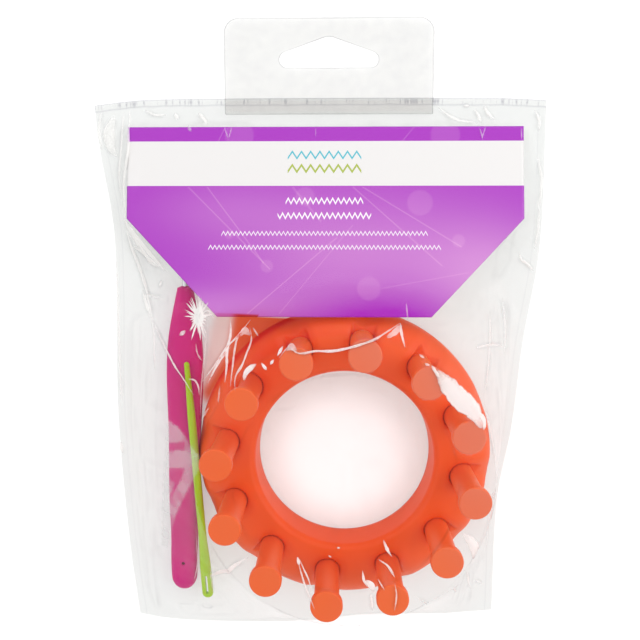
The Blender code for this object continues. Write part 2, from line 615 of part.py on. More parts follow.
def main():
    clear_scene()
    film = finish("clear polypropylene film", (0.93, 0.93, 0.94), 0.12, alpha=0.25)
    tab_film = finish("clear PET sheet", (0.90, 0.90, 0.89), 0.2, alpha=0.45)
    tacky = finish("clear adhesive", (0.80, 0.74, 0.72), 0.5, alpha=0.6)
    orange = finish("orange ABS", (0.84, 0.12, 0.03), 0.42)
    magenta = finish("magenta ABS", (0.62, 0.03, 0.24), 0.4)
    lime = finish("lime polypropylene", (0.38, 0.61, 0.03), 0.35)
    steel = finish("bright steel", (0.62, 0.62, 0.64), 0.25, metallic=1.0)
    board = finish("printed card", (0.42, 0.05, 0.60), 0.55)
    make_back_film(film)
    make_front_film(film)
    make_card(board)
    loom = frame("loom_axis", LOOM)
    make_ring(orange, loom)
    make_pegs(orange, loom)
    hook = frame("hook_slide", HOOK, (0.0, 0.0, -HOOK_LEAN))
    make_hook(magenta, steel, hook)
    eye_x = HOOK.x + NEEDLE_BESIDE_HOOK
    eye_y = HOOK.y - NEEDLE_BELOW_HOOK
    eye_z = CONTENTS_Z + 2 * HANDLE_HALF_THICKNESS
    needle = frame("needle_slide", (eye_x, eye_y, eye_z), (NEEDLE_DIP, 0.0, NEEDLE_LEAN))
    make_needle(lime, needle)
    tab = frame("tab_fold", (TAB_RIGHT_OF_MIDDLE, TOP_Y, TAB_Z + TAB_THICKNESS / 2))
    make_hang_tab(tab_film, tacky, tab)


main()
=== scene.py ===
"""A twelve-peg round knitting loom with its hook and yarn needle, in a clear film pouch with a header card
and a hang tab. Each sub-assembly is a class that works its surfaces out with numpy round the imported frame,
and dresses them. Lengths are in metres, in the frame's axes: X across the pack, Y up it, Z out of its front.
"""

import json
import logging
import math
from dataclasses import dataclass, field
from enum import Enum

import bpy
import numpy as np
from bpy.types import Material, NodeSocket, NodeTree, Object, bpy_prop_collection
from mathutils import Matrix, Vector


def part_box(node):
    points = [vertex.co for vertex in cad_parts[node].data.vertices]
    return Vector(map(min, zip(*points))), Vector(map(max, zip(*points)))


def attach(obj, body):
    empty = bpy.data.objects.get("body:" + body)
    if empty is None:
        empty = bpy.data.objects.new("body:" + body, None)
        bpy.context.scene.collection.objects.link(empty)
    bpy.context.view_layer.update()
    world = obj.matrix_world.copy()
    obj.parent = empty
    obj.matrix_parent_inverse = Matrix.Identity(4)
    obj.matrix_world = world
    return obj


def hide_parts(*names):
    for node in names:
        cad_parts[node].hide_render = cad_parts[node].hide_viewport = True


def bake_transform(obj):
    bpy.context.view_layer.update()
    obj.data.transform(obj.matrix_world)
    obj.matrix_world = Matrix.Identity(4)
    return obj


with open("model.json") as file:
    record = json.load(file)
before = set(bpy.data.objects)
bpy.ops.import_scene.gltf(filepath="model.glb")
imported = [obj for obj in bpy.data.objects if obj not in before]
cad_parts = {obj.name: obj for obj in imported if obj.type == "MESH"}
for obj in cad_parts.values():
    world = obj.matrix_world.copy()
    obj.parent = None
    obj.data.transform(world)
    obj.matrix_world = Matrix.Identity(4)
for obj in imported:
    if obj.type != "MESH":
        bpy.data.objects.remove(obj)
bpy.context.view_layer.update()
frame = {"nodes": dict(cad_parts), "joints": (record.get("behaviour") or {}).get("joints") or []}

MM = 0.001
log = logging.getLogger("loom_kit")


# ---------------------------------------------------------------- numbers


def linear(code: str) -> tuple[float, float, float, float]:
    """Linear colour of an sRGB hex code: each channel above 0.04045 turns to ((c + 0.055) / 1.055) ** 2.4.

    Args:
        code: six hex digits, without a hash.

    Returns:
        Red, green, blue and a full alpha.
    """
    channels = np.array([int(code[i:i + 2], 16) / 255 for i in (0, 2, 4)])
    low = channels / 12.92
    high = ((channels + 0.055) / 1.055) ** 2.4
    return (*(float(c) for c in np.where(channels > 0.04045, high, low)), 1.0)


def smooth(low: float, high: float, value: np.ndarray) -> np.ndarray:
    """Smooth step: 0 below low and 1 above high, along 3t^2 - 2t^3 between them.

    Args:
        low: where the step starts.
        high: where the step ends.
        value: where it is wanted.

    Returns:
        The step's height at each value.
    """
    t = np.clip((value - low) / (high - low), 0.0, 1.0)
    return t * t * (3 - 2 * t)


def flow(xs: np.ndarray, ys: np.ndarray, at: np.ndarray) -> np.ndarray:
    """A smooth curve through points: on each stretch the cubic with the points' mean slopes at its ends.

    Args:
        xs: the points' places, rising.
        ys: the points' values.
        at: where the curve is wanted.

    Returns:
        The curve's value at each place.
    """
    xs, ys = np.asarray(xs, float), np.asarray(ys, float)
    slopes = np.gradient(ys, xs)
    i = np.clip(np.searchsorted(xs, at) - 1, 0, len(xs) - 2)
    run = xs[i + 1] - xs[i]
    t = np.clip((at - xs[i]) / run, 0.0, 1.0)
    back = 1 - t
    ends = ys[i] * (1 + 2 * t) * back * back + ys[i + 1] * (1 + 2 * back) * t * t
    return ends + run * t * back * (slopes[i] * back - slopes[i + 1] * t)


def run_of(line: np.ndarray) -> np.ndarray:
    """How far along a line of straight stretches each of its points lies."""
    return np.concatenate([[0], np.cumsum(np.hypot(*np.diff(line, axis=0).T))])


def along(line: np.ndarray, count: int) -> np.ndarray:
    """Points at equal steps along a line of straight stretches."""
    run = run_of(line)
    at = np.linspace(0, run[-1], count)
    return np.stack([np.interp(at, run, line[:, i]) for i in (0, 1)], axis=1)


def sample(grid: np.ndarray, s: np.ndarray, t: np.ndarray) -> np.ndarray:
    """A grid's value at shares of the way across and up it, blended between its four nearest points.

    Args:
        grid: values in rows.
        s: shares across.
        t: shares up.

    Returns:
        The blended values.
    """
    rows, columns = grid.shape
    across, up = np.clip(s, 0, 1) * (columns - 1), np.clip(t, 0, 1) * (rows - 1)
    j, i = np.minimum(across.astype(int), columns - 2), np.minimum(up.astype(int), rows - 2)
    a, b = across - j, up - i
    low = grid[i, j] * (1 - a) + grid[i, j + 1] * a
    return low * (1 - b) + (grid[i + 1, j] * (1 - a) + grid[i + 1, j + 1] * a) * b


def soften(grid: np.ndarray, rounds: int) -> np.ndarray:
    """A grid of values after rounds in which each goes to the mean of itself and its neighbours' mean."""
    for _ in range(rounds):
        edged = np.pad(grid, 1, mode="edge")
        beside = edged[:-2, 1:-1] + edged[2:, 1:-1] + edged[1:-1, :-2] + edged[1:-1, 2:]
        grid = (grid + beside / 4) / 2
    return grid


def lattice_noise(x: np.ndarray, y: np.ndarray, pitch: float, seed: int) -> np.ndarray:
    """Smooth random field from -1 to 1: random values on a square lattice, blended by smooth steps between.

    Args:
        x: places across.
        y: places up.
        pitch: the lattice's spacing.
        seed: which field.

    Returns:
        The field at each place.
    """
    values = np.random.default_rng(seed).uniform(-1, 1, (64, 64))
    gx, gy = x / pitch + 1000, y / pitch + 1000
    i, j = np.floor(gx).astype(int), np.floor(gy).astype(int)
    tx, ty = smooth(0, 1, gx - i), smooth(0, 1, gy - j)
    low = values[i % 64, j % 64] * (1 - tx) + values[(i + 1) % 64, j % 64] * tx
    high = values[i % 64, (j + 1) % 64] * (1 - tx) + values[(i + 1) % 64, (j + 1) % 64] * tx
    return low * (1 - ty) + high * ty


# ---------------------------------------------------------------- meshes


def grid_faces(rows: int, columns: int, close_rows: bool = False, close_columns: bool = False) -> np.ndarray:
    """The four corners of every quad of a grid of points that is stored row by row.

    Args:
        rows: how many rows of points.
        columns: how many points in a row.
        close_rows: also joins the last row to the first.
        close_columns: also joins each row's end to its start.

    Returns:
        Corner numbers, four to a quad.
    """
    i, j = np.meshgrid(
        np.arange(rows if close_rows else rows - 1),
        np.arange(columns if close_columns else columns - 1),
        indexing="ij",
    )
    below, beside = (i + 1) % rows, (j + 1) % columns
    corners = [i * columns + j, i * columns + beside, below * columns + beside, below * columns + j]
    return np.stack(corners, axis=-1).reshape(-1, 4)


def add_piece(
    name: str, points: np.ndarray, faces: list[np.ndarray], material: Material, closed: bool = True
) -> Object:
    """Put a surface in the scene. A closed one is turned by its volume, and an open one to face +Z.

    Args:
        name: the object's name.
        points: the surface's points.
        faces: corner numbers, one array of quads or triangles to an entry.
        material: what it is dressed in.
        closed: whether the surface shuts in a volume.

    Returns:
        The object, shaded smooth.
    """
    points = points.reshape(-1, 3)
    corners = np.concatenate([points[part[:, :3]] for part in faces])
    if closed:
        turn = np.einsum("ij,ij->i", corners[:, 0], np.cross(corners[:, 1], corners[:, 2])).sum()
    else:
        turn = np.cross(corners[:, 1] - corners[:, 0], corners[:, 2] - corners[:, 0])[:, 2].sum()
    if turn < 0:
        faces = [part[:, ::-1] for part in faces]
    sides = np.concatenate([np.full(len(part), part.shape[1]) for part in faces])
    mesh = bpy.data.meshes.new(name)
    mesh.vertices.add(len(points))
    mesh.vertices.foreach_set("co", points.astype(np.float32).ravel())
    mesh.loops.add(int(sides.sum()))
    mesh.loops.foreach_set("vertex_index", np.concatenate([part.ravel() for part in faces]).astype(np.int32))
    mesh.polygons.add(len(sides))
    mesh.polygons.foreach_set("loop_start", np.concatenate([[0], np.cumsum(sides)[:-1]]).astype(np.int32))
    mesh.polygons.foreach_set("loop_total", sides.astype(np.int32))
    mesh.update(calc_edges=True)
    mesh.validate()
    mesh.materials.append(material)
    mesh.shade_smooth()
    thing = bpy.data.objects.new(name, mesh)
    bpy.context.scene.collection.objects.link(thing)
    log.info("%s: %d points, %d faces", name, len(points), len(sides))
    return thing


def add_field(name: str, x: np.ndarray, y: np.ndarray, z: np.ndarray, material: Material) -> Object:
    """Put an open surface through a grid of points in the scene, from their places across, up and out."""
    return add_piece(name, np.stack([x, y, z], axis=-1), [grid_faces(*x.shape)], material, closed=False)


def loft_faces(rows: int, columns: int) -> list[np.ndarray]:
    """The faces of a stack of closed rings with a pole at each end. The poles' points come last."""
    start = np.arange(columns)
    beside, last = (start + 1) % columns, (rows - 1) * columns
    first_fan = np.stack([beside, start, np.full(columns, rows * columns)], axis=1)
    last_fan = np.stack([last + start, last + beside, np.full(columns, rows * columns + 1)], axis=1)
    return [grid_faces(rows, columns, close_columns=True), first_fan, last_fan]


def add_loft(name: str, rings: np.ndarray, material: Material) -> Object:
    """A closed body through a stack of closed rings, with a pole in the middle of the first and the last.

    Args:
        name: the object's name.
        rings: points in rows, one ring to a row.
        material: what it is dressed in.

    Returns:
        The object.
    """
    poles = np.stack([rings[0].mean(axis=0), rings[-1].mean(axis=0)])
    points = np.concatenate([rings.reshape(-1, 3), poles])
    return add_piece(name, points, loft_faces(*rings.shape[:2]), material)


def paint(thing: Object, name: str, values: np.ndarray) -> None:
    """Give each point of a piece a number that its material reads by name."""
    layer = thing.data.attributes.new(name, "FLOAT", "POINT")
    layer.data.foreach_set("value", values.astype(np.float32).ravel())


def map_flat(thing: Object, across: np.ndarray, up: np.ndarray) -> None:
    """Give a piece a UV map, from each point's two numbers."""
    loops = np.empty(len(thing.data.loops), np.int32)
    thing.data.loops.foreach_get("vertex_index", loops)
    pairs = np.stack([across.ravel()[loops], up.ravel()[loops]], axis=1)
    thing.data.uv_layers.new(name="flat").data.foreach_set("uv", pairs.astype(np.float32).ravel())


def circle(steps: int) -> np.ndarray:
    """Angles of equal steps round a circle."""
    return np.arange(steps) * 2 * np.pi / steps


def centre_of(node: str) -> np.ndarray:
    """Middle of a CAD node's box."""
    low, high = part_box(node)
    return (np.array(low) + np.array(high)) / 2


def joint_named(name: str) -> dict:
    """A joint of the record."""
    return next(joint for joint in frame["joints"] if joint["name"] == name)


def joint_axis(name: str) -> np.ndarray:
    """Direction of a joint's axis, from the record."""
    return np.array(joint_named(name)["axis"], float)


# ---------------------------------------------------------------- finishes


def add(tree: NodeTree, kind: str, values: dict = {}, links: dict = {}, **settings) -> bpy_prop_collection:
    """Add a node, with its settings, the values of its sockets and the sockets that feed it.

    Args:
        tree: the material's nodes.
        kind: the node's type.
        values: what unlinked sockets hold, by name or number.
        links: the output socket that feeds each linked socket, by name or number.
        settings: the node's own properties.

    Returns:
        The node's outputs.
    """
    made = tree.nodes.new(kind)
    for name, value in settings.items():
        setattr(made, name, value)
    for socket, value in values.items():
        made.inputs[socket].default_value = value
    for socket, source in links.items():
        tree.links.new(source, made.inputs[socket])
    return made.outputs


@dataclass(frozen=True)
class Finish:
    """A surface's make: a name, and a shader that each kind of finish works out."""

    name: str

    def shader(self, tree: NodeTree) -> NodeSocket:
        """The shader, made in a material's tree."""
        raise NotImplementedError

    def make(self) -> Material:
        """The finish as a material."""
        material = bpy.data.materials.new(self.name)
        material.use_nodes = True
        tree = material.node_tree
        tree.nodes.clear()
        add(tree, "ShaderNodeOutputMaterial", {}, {0: self.shader(tree)}, is_active_output=True)
        return material


@dataclass(frozen=True)
class MouldedPlastic(Finish):
    """Thermoplastic moulded in a spark-eroded tool: one dyed-through colour with faint flow shade, a satin
    grain too fine to see as more than a soft highlight, and a slight glow where light passes thin edges."""

    colour: str
    flow: str
    roughness: float = 0.42
    unevenness: float = 0.04
    depth: float = 0.12
    depth_reach: float = 2 * MM
    flow_size: float = 22 * MM
    grain_size: float = 0.35 * MM
    grain_height: float = 0.1 * MM
    grain: float = 0.03
    ior: float = 1.32

    def shader(self, tree: NodeTree) -> NodeSocket:
        """The shader: the flow's shade is in the dye and in the polish, and the grain in the relief."""
        place = add(tree, "ShaderNodeTexCoord")["Object"]
        shade, grain = (
            add(tree, "ShaderNodeTexNoise", {"Scale": 1 / size, "Detail": detail}, {"Vector": place})["Fac"]
            for size, detail in ((self.flow_size, 2.0), (self.grain_size, 1.0))
        )
        colours = {6: linear(self.colour), 7: linear(self.flow)}
        dye = add(tree, "ShaderNodeMix", colours, {"Factor": shade}, data_type="RGBA")[2]
        ranges = {"To Min": self.roughness - self.unevenness, "To Max": self.roughness + self.unevenness}
        rough = add(tree, "ShaderNodeMapRange", ranges, {"Value": shade})[0]
        relief = {"Strength": self.grain, "Distance": self.grain_height}
        bump = add(tree, "ShaderNodeBump", relief, {"Height": grain})[0]
        links = {"Base Color": dye, "Roughness": rough, "Normal": bump}
        values = {"IOR": self.ior, "Subsurface Weight": self.depth, "Subsurface Scale": self.depth_reach}
        return add(tree, "ShaderNodeBsdfPrincipled", values, links)[0]


@dataclass(frozen=True)
class DrawnSteel(Finish):
    """Bright nickel-plated steel wire, drawn through a die: mirror-like, with fine lengthwise lines."""

    name: str = "bright drawn steel wire"
    colour: str = "C9CACC"
    line: float = 0.12 * MM
    lines_along: float = 8.0
    roughness: tuple[float, float] = (0.16, 0.32)

    def shader(self, tree: NodeTree) -> NodeSocket:
        """The shader: noise drawn out lengthwise is in the polish and in the relief."""
        place = add(tree, "ShaderNodeTexCoord")["Object"]
        stretch = {"Scale": (1 / self.line, self.lines_along, 1 / self.line)}
        long = add(tree, "ShaderNodeMapping", stretch, {"Vector": place})[0]
        lines = add(tree, "ShaderNodeTexNoise", {"Scale": 1.0}, {"Vector": long})["Fac"]
        ranges = {"To Min": self.roughness[0], "To Max": self.roughness[1]}
        rough = add(tree, "ShaderNodeMapRange", ranges, {"Value": lines})[0]
        bump = add(tree, "ShaderNodeBump", {"Strength": 0.05, "Distance": 0.05 * MM}, {"Height": lines})[0]
        values = {"Base Color": linear(self.colour), "Metallic": 1.0}
        return add(tree, "ShaderNodeBsdfPrincipled", values, {"Roughness": rough, "Normal": bump})[0]


@dataclass(frozen=True)
class Glazed(Finish):
    """A clear finish whose glossy face mirrors least when it is seen face on, and most on the slant."""

    gloss: float = 0.1
    face_on: float = 0.012
    slant_on: float = 0.35

    def glazed(self, tree: NodeTree, body: NodeSocket, bump: NodeSocket) -> NodeSocket:
        """A body under a mirror whose share is face_on + slant_on x s^5, where s is 0 face on and 1 edge on.

        Args:
            tree: the material's nodes.
            body: the body's shader.
            bump: the face's normal.

        Returns:
            The glazed shader.
        """
        facing = add(tree, "ShaderNodeLayerWeight", {"Blend": 0.5}, {"Normal": bump})["Facing"]
        slant = add(tree, "ShaderNodeMath", {1: 5.0}, {0: facing}, operation="POWER")[0]
        spread = {1: self.slant_on, 2: self.face_on}
        mirror = add(tree, "ShaderNodeMath", spread, {0: slant}, operation="MULTIPLY_ADD")[0]
        face = {"Roughness": self.gloss, "Color": (1, 1, 1, 1)}
        shine = add(tree, "ShaderNodeBsdfGlossy", face, {"Normal": bump})[0]
        return add(tree, "ShaderNodeMixShader", {}, {0: mirror, 1: body, 2: shine})[0]


# ---------------------------------------------------------------- loom


@dataclass
class Loom:
    """The ring and its pegs. The ring's centre is its turning axis, and its sizes are those of its node."""

    finish: MouldedPlastic = MouldedPlastic("orange moulded ABS", "F55D1A", "EE5412")
    # The pegs wear a lighter copy of the ring's plastic: painted light, for their caps that face the lamps.
    lit_peg_finish: MouldedPlastic = MouldedPlastic("orange moulded ABS, peg batch", "EF692D", "EA5F26")
    wall: float = 2.3 * MM
    rim: float = 3.4 * MM
    hole_radius: float = 28.3 * MM
    dome: float = 2.3
    scoop_depth: float = 2.2 * MM
    scoop_half_width: float = 7.0 * MM
    pocket_radius: float = 3.78 * MM
    pocket_edge: float = 0.3 * MM
    pocket_floor: float = 8.6 * MM
    peg_count: int = 12
    shaft_radius: float = 3.85 * MM
    cap_radius: float = 4.85 * MM
    cap_room: float = 0.5 * MM
    cap_height: float = 3.6 * MM
    cap_flat: float = 4.4 * MM
    cap_edge: float = 0.5 * MM
    groove: float = 0.45 * MM
    peg_tail: float = 2.5 * MM
    socket_play: float = 0.3 * MM
    socket_wall: float = 1.2 * MM
    socket_foot: float = 0.7 * MM
    socket_floor: float = 2.2 * MM
    socket_steps: int = 24
    ring_steps: int = 720
    peg_steps: int = 72

    def __post_init__(self) -> None:
        """Take the ring's centre, its outer radius, its height and the pegs' places from the frame."""
        self.centre = np.array(joint_named("loom_turn")["pos_m"])
        low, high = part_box("loom_ring")
        self.outer_radius = (high[0] - low[0]) / 2
        self.height = high[2] - self.centre[2]
        self.pegs = [centre_of(f"peg_{i:02d}") for i in range(1, self.peg_count + 1)]
        self.peg_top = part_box("peg_01")[1][2]
        self.phase = math.atan2(self.pegs[0][1] - self.centre[1], self.pegs[0][0] - self.centre[0])
        self.peg_circle = math.hypot(self.pegs[0][0] - self.centre[0], self.pegs[0][1] - self.centre[1])
        self.material, self.lit_peg_material = self.finish.make(), self.lit_peg_finish.make()

    def top(self, radius: np.ndarray, angle: np.ndarray) -> np.ndarray:
        """Height of the ring's top over its base.

        It is a dome, which falls from the crest by the power curve sqrt(1 - s^p), less a wide scoop at each
        peg, as deep as a raised cosine across it, less the peg's own pocket: a flat floor inside a U that is
        open outwards.

        Args:
            radius: how far from the ring's centre.
            angle: which way from the ring's centre.

        Returns:
            The height at each place.
        """
        crest = self.hole_radius + self.wall
        share = np.clip((radius - crest) / (self.outer_radius - crest), 0, 1)
        height = self.rim + (self.height - self.rim) * np.sqrt(np.maximum(0, 1 - share ** self.dome))
        pitch = 2 * np.pi / self.peg_count
        off = (angle - self.phase + pitch / 2) % pitch - pitch / 2
        aside, out = radius * np.sin(off), radius * np.cos(off) - self.peg_circle
        across = np.clip(np.abs(off) * radius / self.scoop_half_width, 0, 1)
        start = self.peg_circle - 1.5 * self.shaft_radius
        depth = self.scoop_depth * (0.5 + 0.5 * np.cos(np.pi * across))
        depth *= smooth(start, self.peg_circle, radius)
        height = height - np.minimum(depth, 0.4 * height)
        beside = np.hypot(aside, np.minimum(out, 0))
        low, high = self.pocket_radius - self.pocket_edge, self.pocket_radius + self.pocket_edge
        inside = 1 - smooth(low, high, beside)
        return height - inside * np.maximum(0, height - self.pocket_floor)

    def make_ring(self) -> None:
        """The ring: its whole section, hollow below, carried round its centre.

        Going round the section, the points run up the wall of the hole, over its lip on a quarter ellipse,
        down the dome to the rim, round the foot and back through the hollow.
        """
        wall, hole, outer = self.wall, self.hole_radius, self.outer_radius
        crest = hole + wall
        up = np.linspace(0, 1, 10)[:, None]
        quarter = np.linspace(0, np.pi / 2, 16)[1:, None]
        fall = np.sin(np.linspace(0, np.pi / 2, 60))[1:, None]
        lip_z = self.height - wall
        wall_in = np.hstack([hole + 0.1 * wall * up ** 2, lip_z * up])
        lip = np.hstack([crest - 0.9 * wall * np.cos(quarter), lip_z + wall * np.sin(quarter)])
        dome = np.hstack([crest + (outer - crest) * fall, np.full_like(fall, self.height)])
        foot = np.array([
            (outer, 0.4 * self.rim), (outer - 0.1 * wall, 0.1 * wall), (outer - 0.4 * wall, 0.0),
        ])
        ceiling = self.pocket_floor - 0.6 * wall
        hollow = np.array([
            (outer - 0.9 * wall, 0.0), (outer - wall, 0.3 * wall), (outer - wall, 0.5 * self.rim),
            (outer - 2.4 * wall, 0.75 * ceiling), (self.peg_circle, ceiling),
            (crest + wall, ceiling), (hole + 0.95 * wall, 0.85 * ceiling), (hole + 0.9 * wall, 0.0),
        ])
        section = np.vstack([wall_in, lip, dome, foot, hollow])
        angle = circle(self.ring_steps)[:, None]
        radius = np.broadcast_to(section[:, 0], (self.ring_steps, len(section)))
        height = np.tile(section[:, 1], (self.ring_steps, 1))
        first = len(wall_in) + len(lip)
        domed = slice(first, first + len(dome))
        height[:, domed] = self.top(radius[:, domed], angle)
        points = np.stack([radius * np.cos(angle), radius * np.sin(angle), height], axis=-1) + self.centre
        faces = grid_faces(self.ring_steps, len(section), True, True)
        ring = add_piece("loom_ring_moulding", points, [faces], self.material)
        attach(ring, "loom")
        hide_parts("loom_ring")

    def make_bosses(self) -> None:
        """The cups under the ring that hold the pegs' tails: one turned profile, set at each peg."""
        inner = self.shaft_radius + self.socket_play
        outer, pin = inner + self.socket_wall, 0.1 * MM
        low, floor, high = self.socket_foot, self.socket_floor, self.pocket_floor - 0.3 * self.wall
        profile = [(pin, low), (outer, low), (outer, high), (inner, high), (inner, floor), (pin, floor)]
        radius, height = np.array(profile).T
        turn = circle(self.socket_steps)[:, None]
        one = np.stack(np.broadcast_arrays(radius * np.cos(turn), radius * np.sin(turn), height), axis=-1)
        points = np.concatenate([one + (x, y, self.centre[2]) for x, y, _ in self.pegs])
        faces = grid_faces(self.socket_steps, len(profile), True, True)
        every = np.concatenate([faces + i * radius.size * self.socket_steps for i in range(self.peg_count)])
        bosses = add_piece("loom_ring_sockets", points, [every], self.material)
        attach(bosses, "loom")

    def peg_profile(self) -> np.ndarray:
        """The peg's radius and height along it: straight shaft, neck flaring on a smooth step, cap with a
        rounded edge on a quarter ellipse, and a top that falls a little towards its middle.

        Returns:
            Rows of radius, height and the groove's share.
        """
        top = self.peg_top - self.centre[2]
        neck = top - self.cap_height
        shaft_z = np.concatenate([[0, 0.3, 0.8], np.linspace(2, 24, 16), np.linspace(24.5, 29, 10)])
        shaft_z = shaft_z * MM + self.peg_tail
        shaft_z = shaft_z[shaft_z < neck - 0.5 * MM]
        shaft = self.shaft_radius * np.ones_like(shaft_z)
        shaft[:2] -= np.array([0.8, 0.3]) * MM
        flare_z = np.linspace(neck - 0.4 * MM, neck + 1.5 * MM, 12)
        flared = smooth(flare_z[0], flare_z[-1], flare_z)
        flare = self.shaft_radius + (self.cap_radius - self.shaft_radius) * flared
        turn = np.linspace(0, np.pi / 2, 14)[1:]
        edge = self.cap_radius - self.cap_flat
        round_r = self.cap_flat + edge * np.cos(turn)
        round_z = top - self.cap_edge * (1 - np.sin(turn))
        flat_r = self.cap_flat * np.array([0.94, 0.8, 0.6, 0.35, 0.1])
        flat_z = top - 0.06 * MM * (1 - (flat_r / self.cap_flat) ** 2)
        radius = np.concatenate([shaft, flare, [self.cap_radius], round_r, flat_r])
        height = np.concatenate([shaft_z, flare_z, [top - self.cap_edge], round_z, flat_z])
        groove = smooth(12 * MM, 13.5 * MM, height) * (1 - smooth(neck - 3 * MM, neck - 1 * MM, height))
        return np.stack([radius, height, groove], axis=1)

    def make_pegs(self) -> None:
        """The pegs: the profile turned about each peg's axis, with a groove down its outer side."""
        profile = self.peg_profile()
        turn = circle(self.peg_steps)
        cut = self.groove * np.maximum(0, np.cos(turn)) ** 8
        radius = profile[:, :1] - profile[:, 2:] * cut
        height = np.broadcast_to(profile[:, 1:2], radius.shape)
        for i, place in enumerate(self.pegs, start=1):
            outward = math.atan2(place[1] - self.centre[1], place[0] - self.centre[0])
            x = place[0] + radius * np.cos(turn + outward)
            y = place[1] + radius * np.sin(turn + outward)
            rings = np.stack([x, y, height + self.centre[2]], axis=-1)
            peg = add_loft(f"loom_peg_{i:02d}", rings, self.lit_peg_material)
            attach(peg, "loom")
            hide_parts(f"peg_{i:02d}")

    def height_over(self, x: np.ndarray, y: np.ndarray) -> np.ndarray:
        """Height over the plan of the ring and of the band that the caps sweep, or 0 beside them."""
        dx, dy = x - self.centre[0], y - self.centre[1]
        radius = np.hypot(dx, dy)
        on = (radius > self.hole_radius) & (radius < self.outer_radius)
        height = np.where(on, self.centre[2] + self.top(radius, np.arctan2(dy, dx)), 0.0)
        swept = np.abs(radius - self.peg_circle) < self.cap_radius + self.cap_room
        return np.where(swept, self.peg_top, height)

    def on_caps(self, x: np.ndarray, y: np.ndarray) -> np.ndarray:
        """Whether each place is over a peg's cap, where the pegs rest."""
        return np.any([np.hypot(x - px, y - py) < self.cap_radius for px, py, _ in self.pegs], axis=0)

    def build(self) -> None:
        """Make the ring, its sockets and its pegs."""
        self.make_ring()
        self.make_bosses()
        self.make_pegs()


# ---------------------------------------------------------------- hook and needle


def flattened_bar(
    lengths: np.ndarray, wide: np.ndarray, thick: np.ndarray, squareness: float, steps: int = 48
) -> np.ndarray:
    """Rings of a bar along +Y: at each length a superellipse, |x/wide|^p + |z/thick|^p = 1.

    Args:
        lengths: where the rings are.
        wide: half widths there.
        thick: half thicknesses there.
        squareness: the power p; 2 is an ellipse.
        steps: points in a ring.

    Returns:
        The rings' points.
    """
    turn = circle(steps)
    cos, sin = np.cos(turn), np.sin(turn)
    reach = np.sign(cos) * np.abs(cos) ** (2 / squareness), np.sign(sin) * np.abs(sin) ** (2 / squareness)
    x = wide[:, None] * reach[0]
    z = thick[:, None] * reach[1]
    return np.stack([x, np.broadcast_to(lengths[:, None], x.shape), z], axis=-1)


def lay(points: np.ndarray, at: np.ndarray, along: np.ndarray) -> np.ndarray:
    """Points of a bar along +Y, laid from a place along a direction, its flat side as level as it can be.

    Args:
        points: the bar's points.
        at: where its start goes.
        along: which way it points.

    Returns:
        The points in the frame's axes.
    """
    along = along / np.linalg.norm(along)
    side = np.cross(along, (0, 0, 1))
    side /= np.linalg.norm(side)
    up = np.cross(side, along)
    return at + points[..., :1] * side + points[..., 1:2] * along + points[..., 2:] * up


def bar_height(
    x: np.ndarray, y: np.ndarray, foot: np.ndarray, joint: str, length: float, wide: float, thick: float
) -> np.ndarray:
    """Height over the plan of a round-topped bar, wherever its slide takes it, or 0 beside it.

    Args:
        x: places across.
        y: places up.
        foot: the bar's start.
        joint: its slide's name.
        length: its length.
        wide: half of its width.
        thick: half of its thickness.

    Returns:
        The heights.
    """
    along, (back, ahead) = joint_axis(joint), joint_named(joint)["range_m"]
    run = (x - foot[0]) * along[0] + (y - foot[1]) * along[1]
    off = (x - foot[0]) * along[1] - (y - foot[1]) * along[0]
    crown = foot[2] + run * along[2] + thick * np.sqrt(np.maximum(0, 1 - (off / wide) ** 2))
    return np.where((run >= back) & (run <= length + ahead) & (np.abs(off) < wide), crown, 0.0)


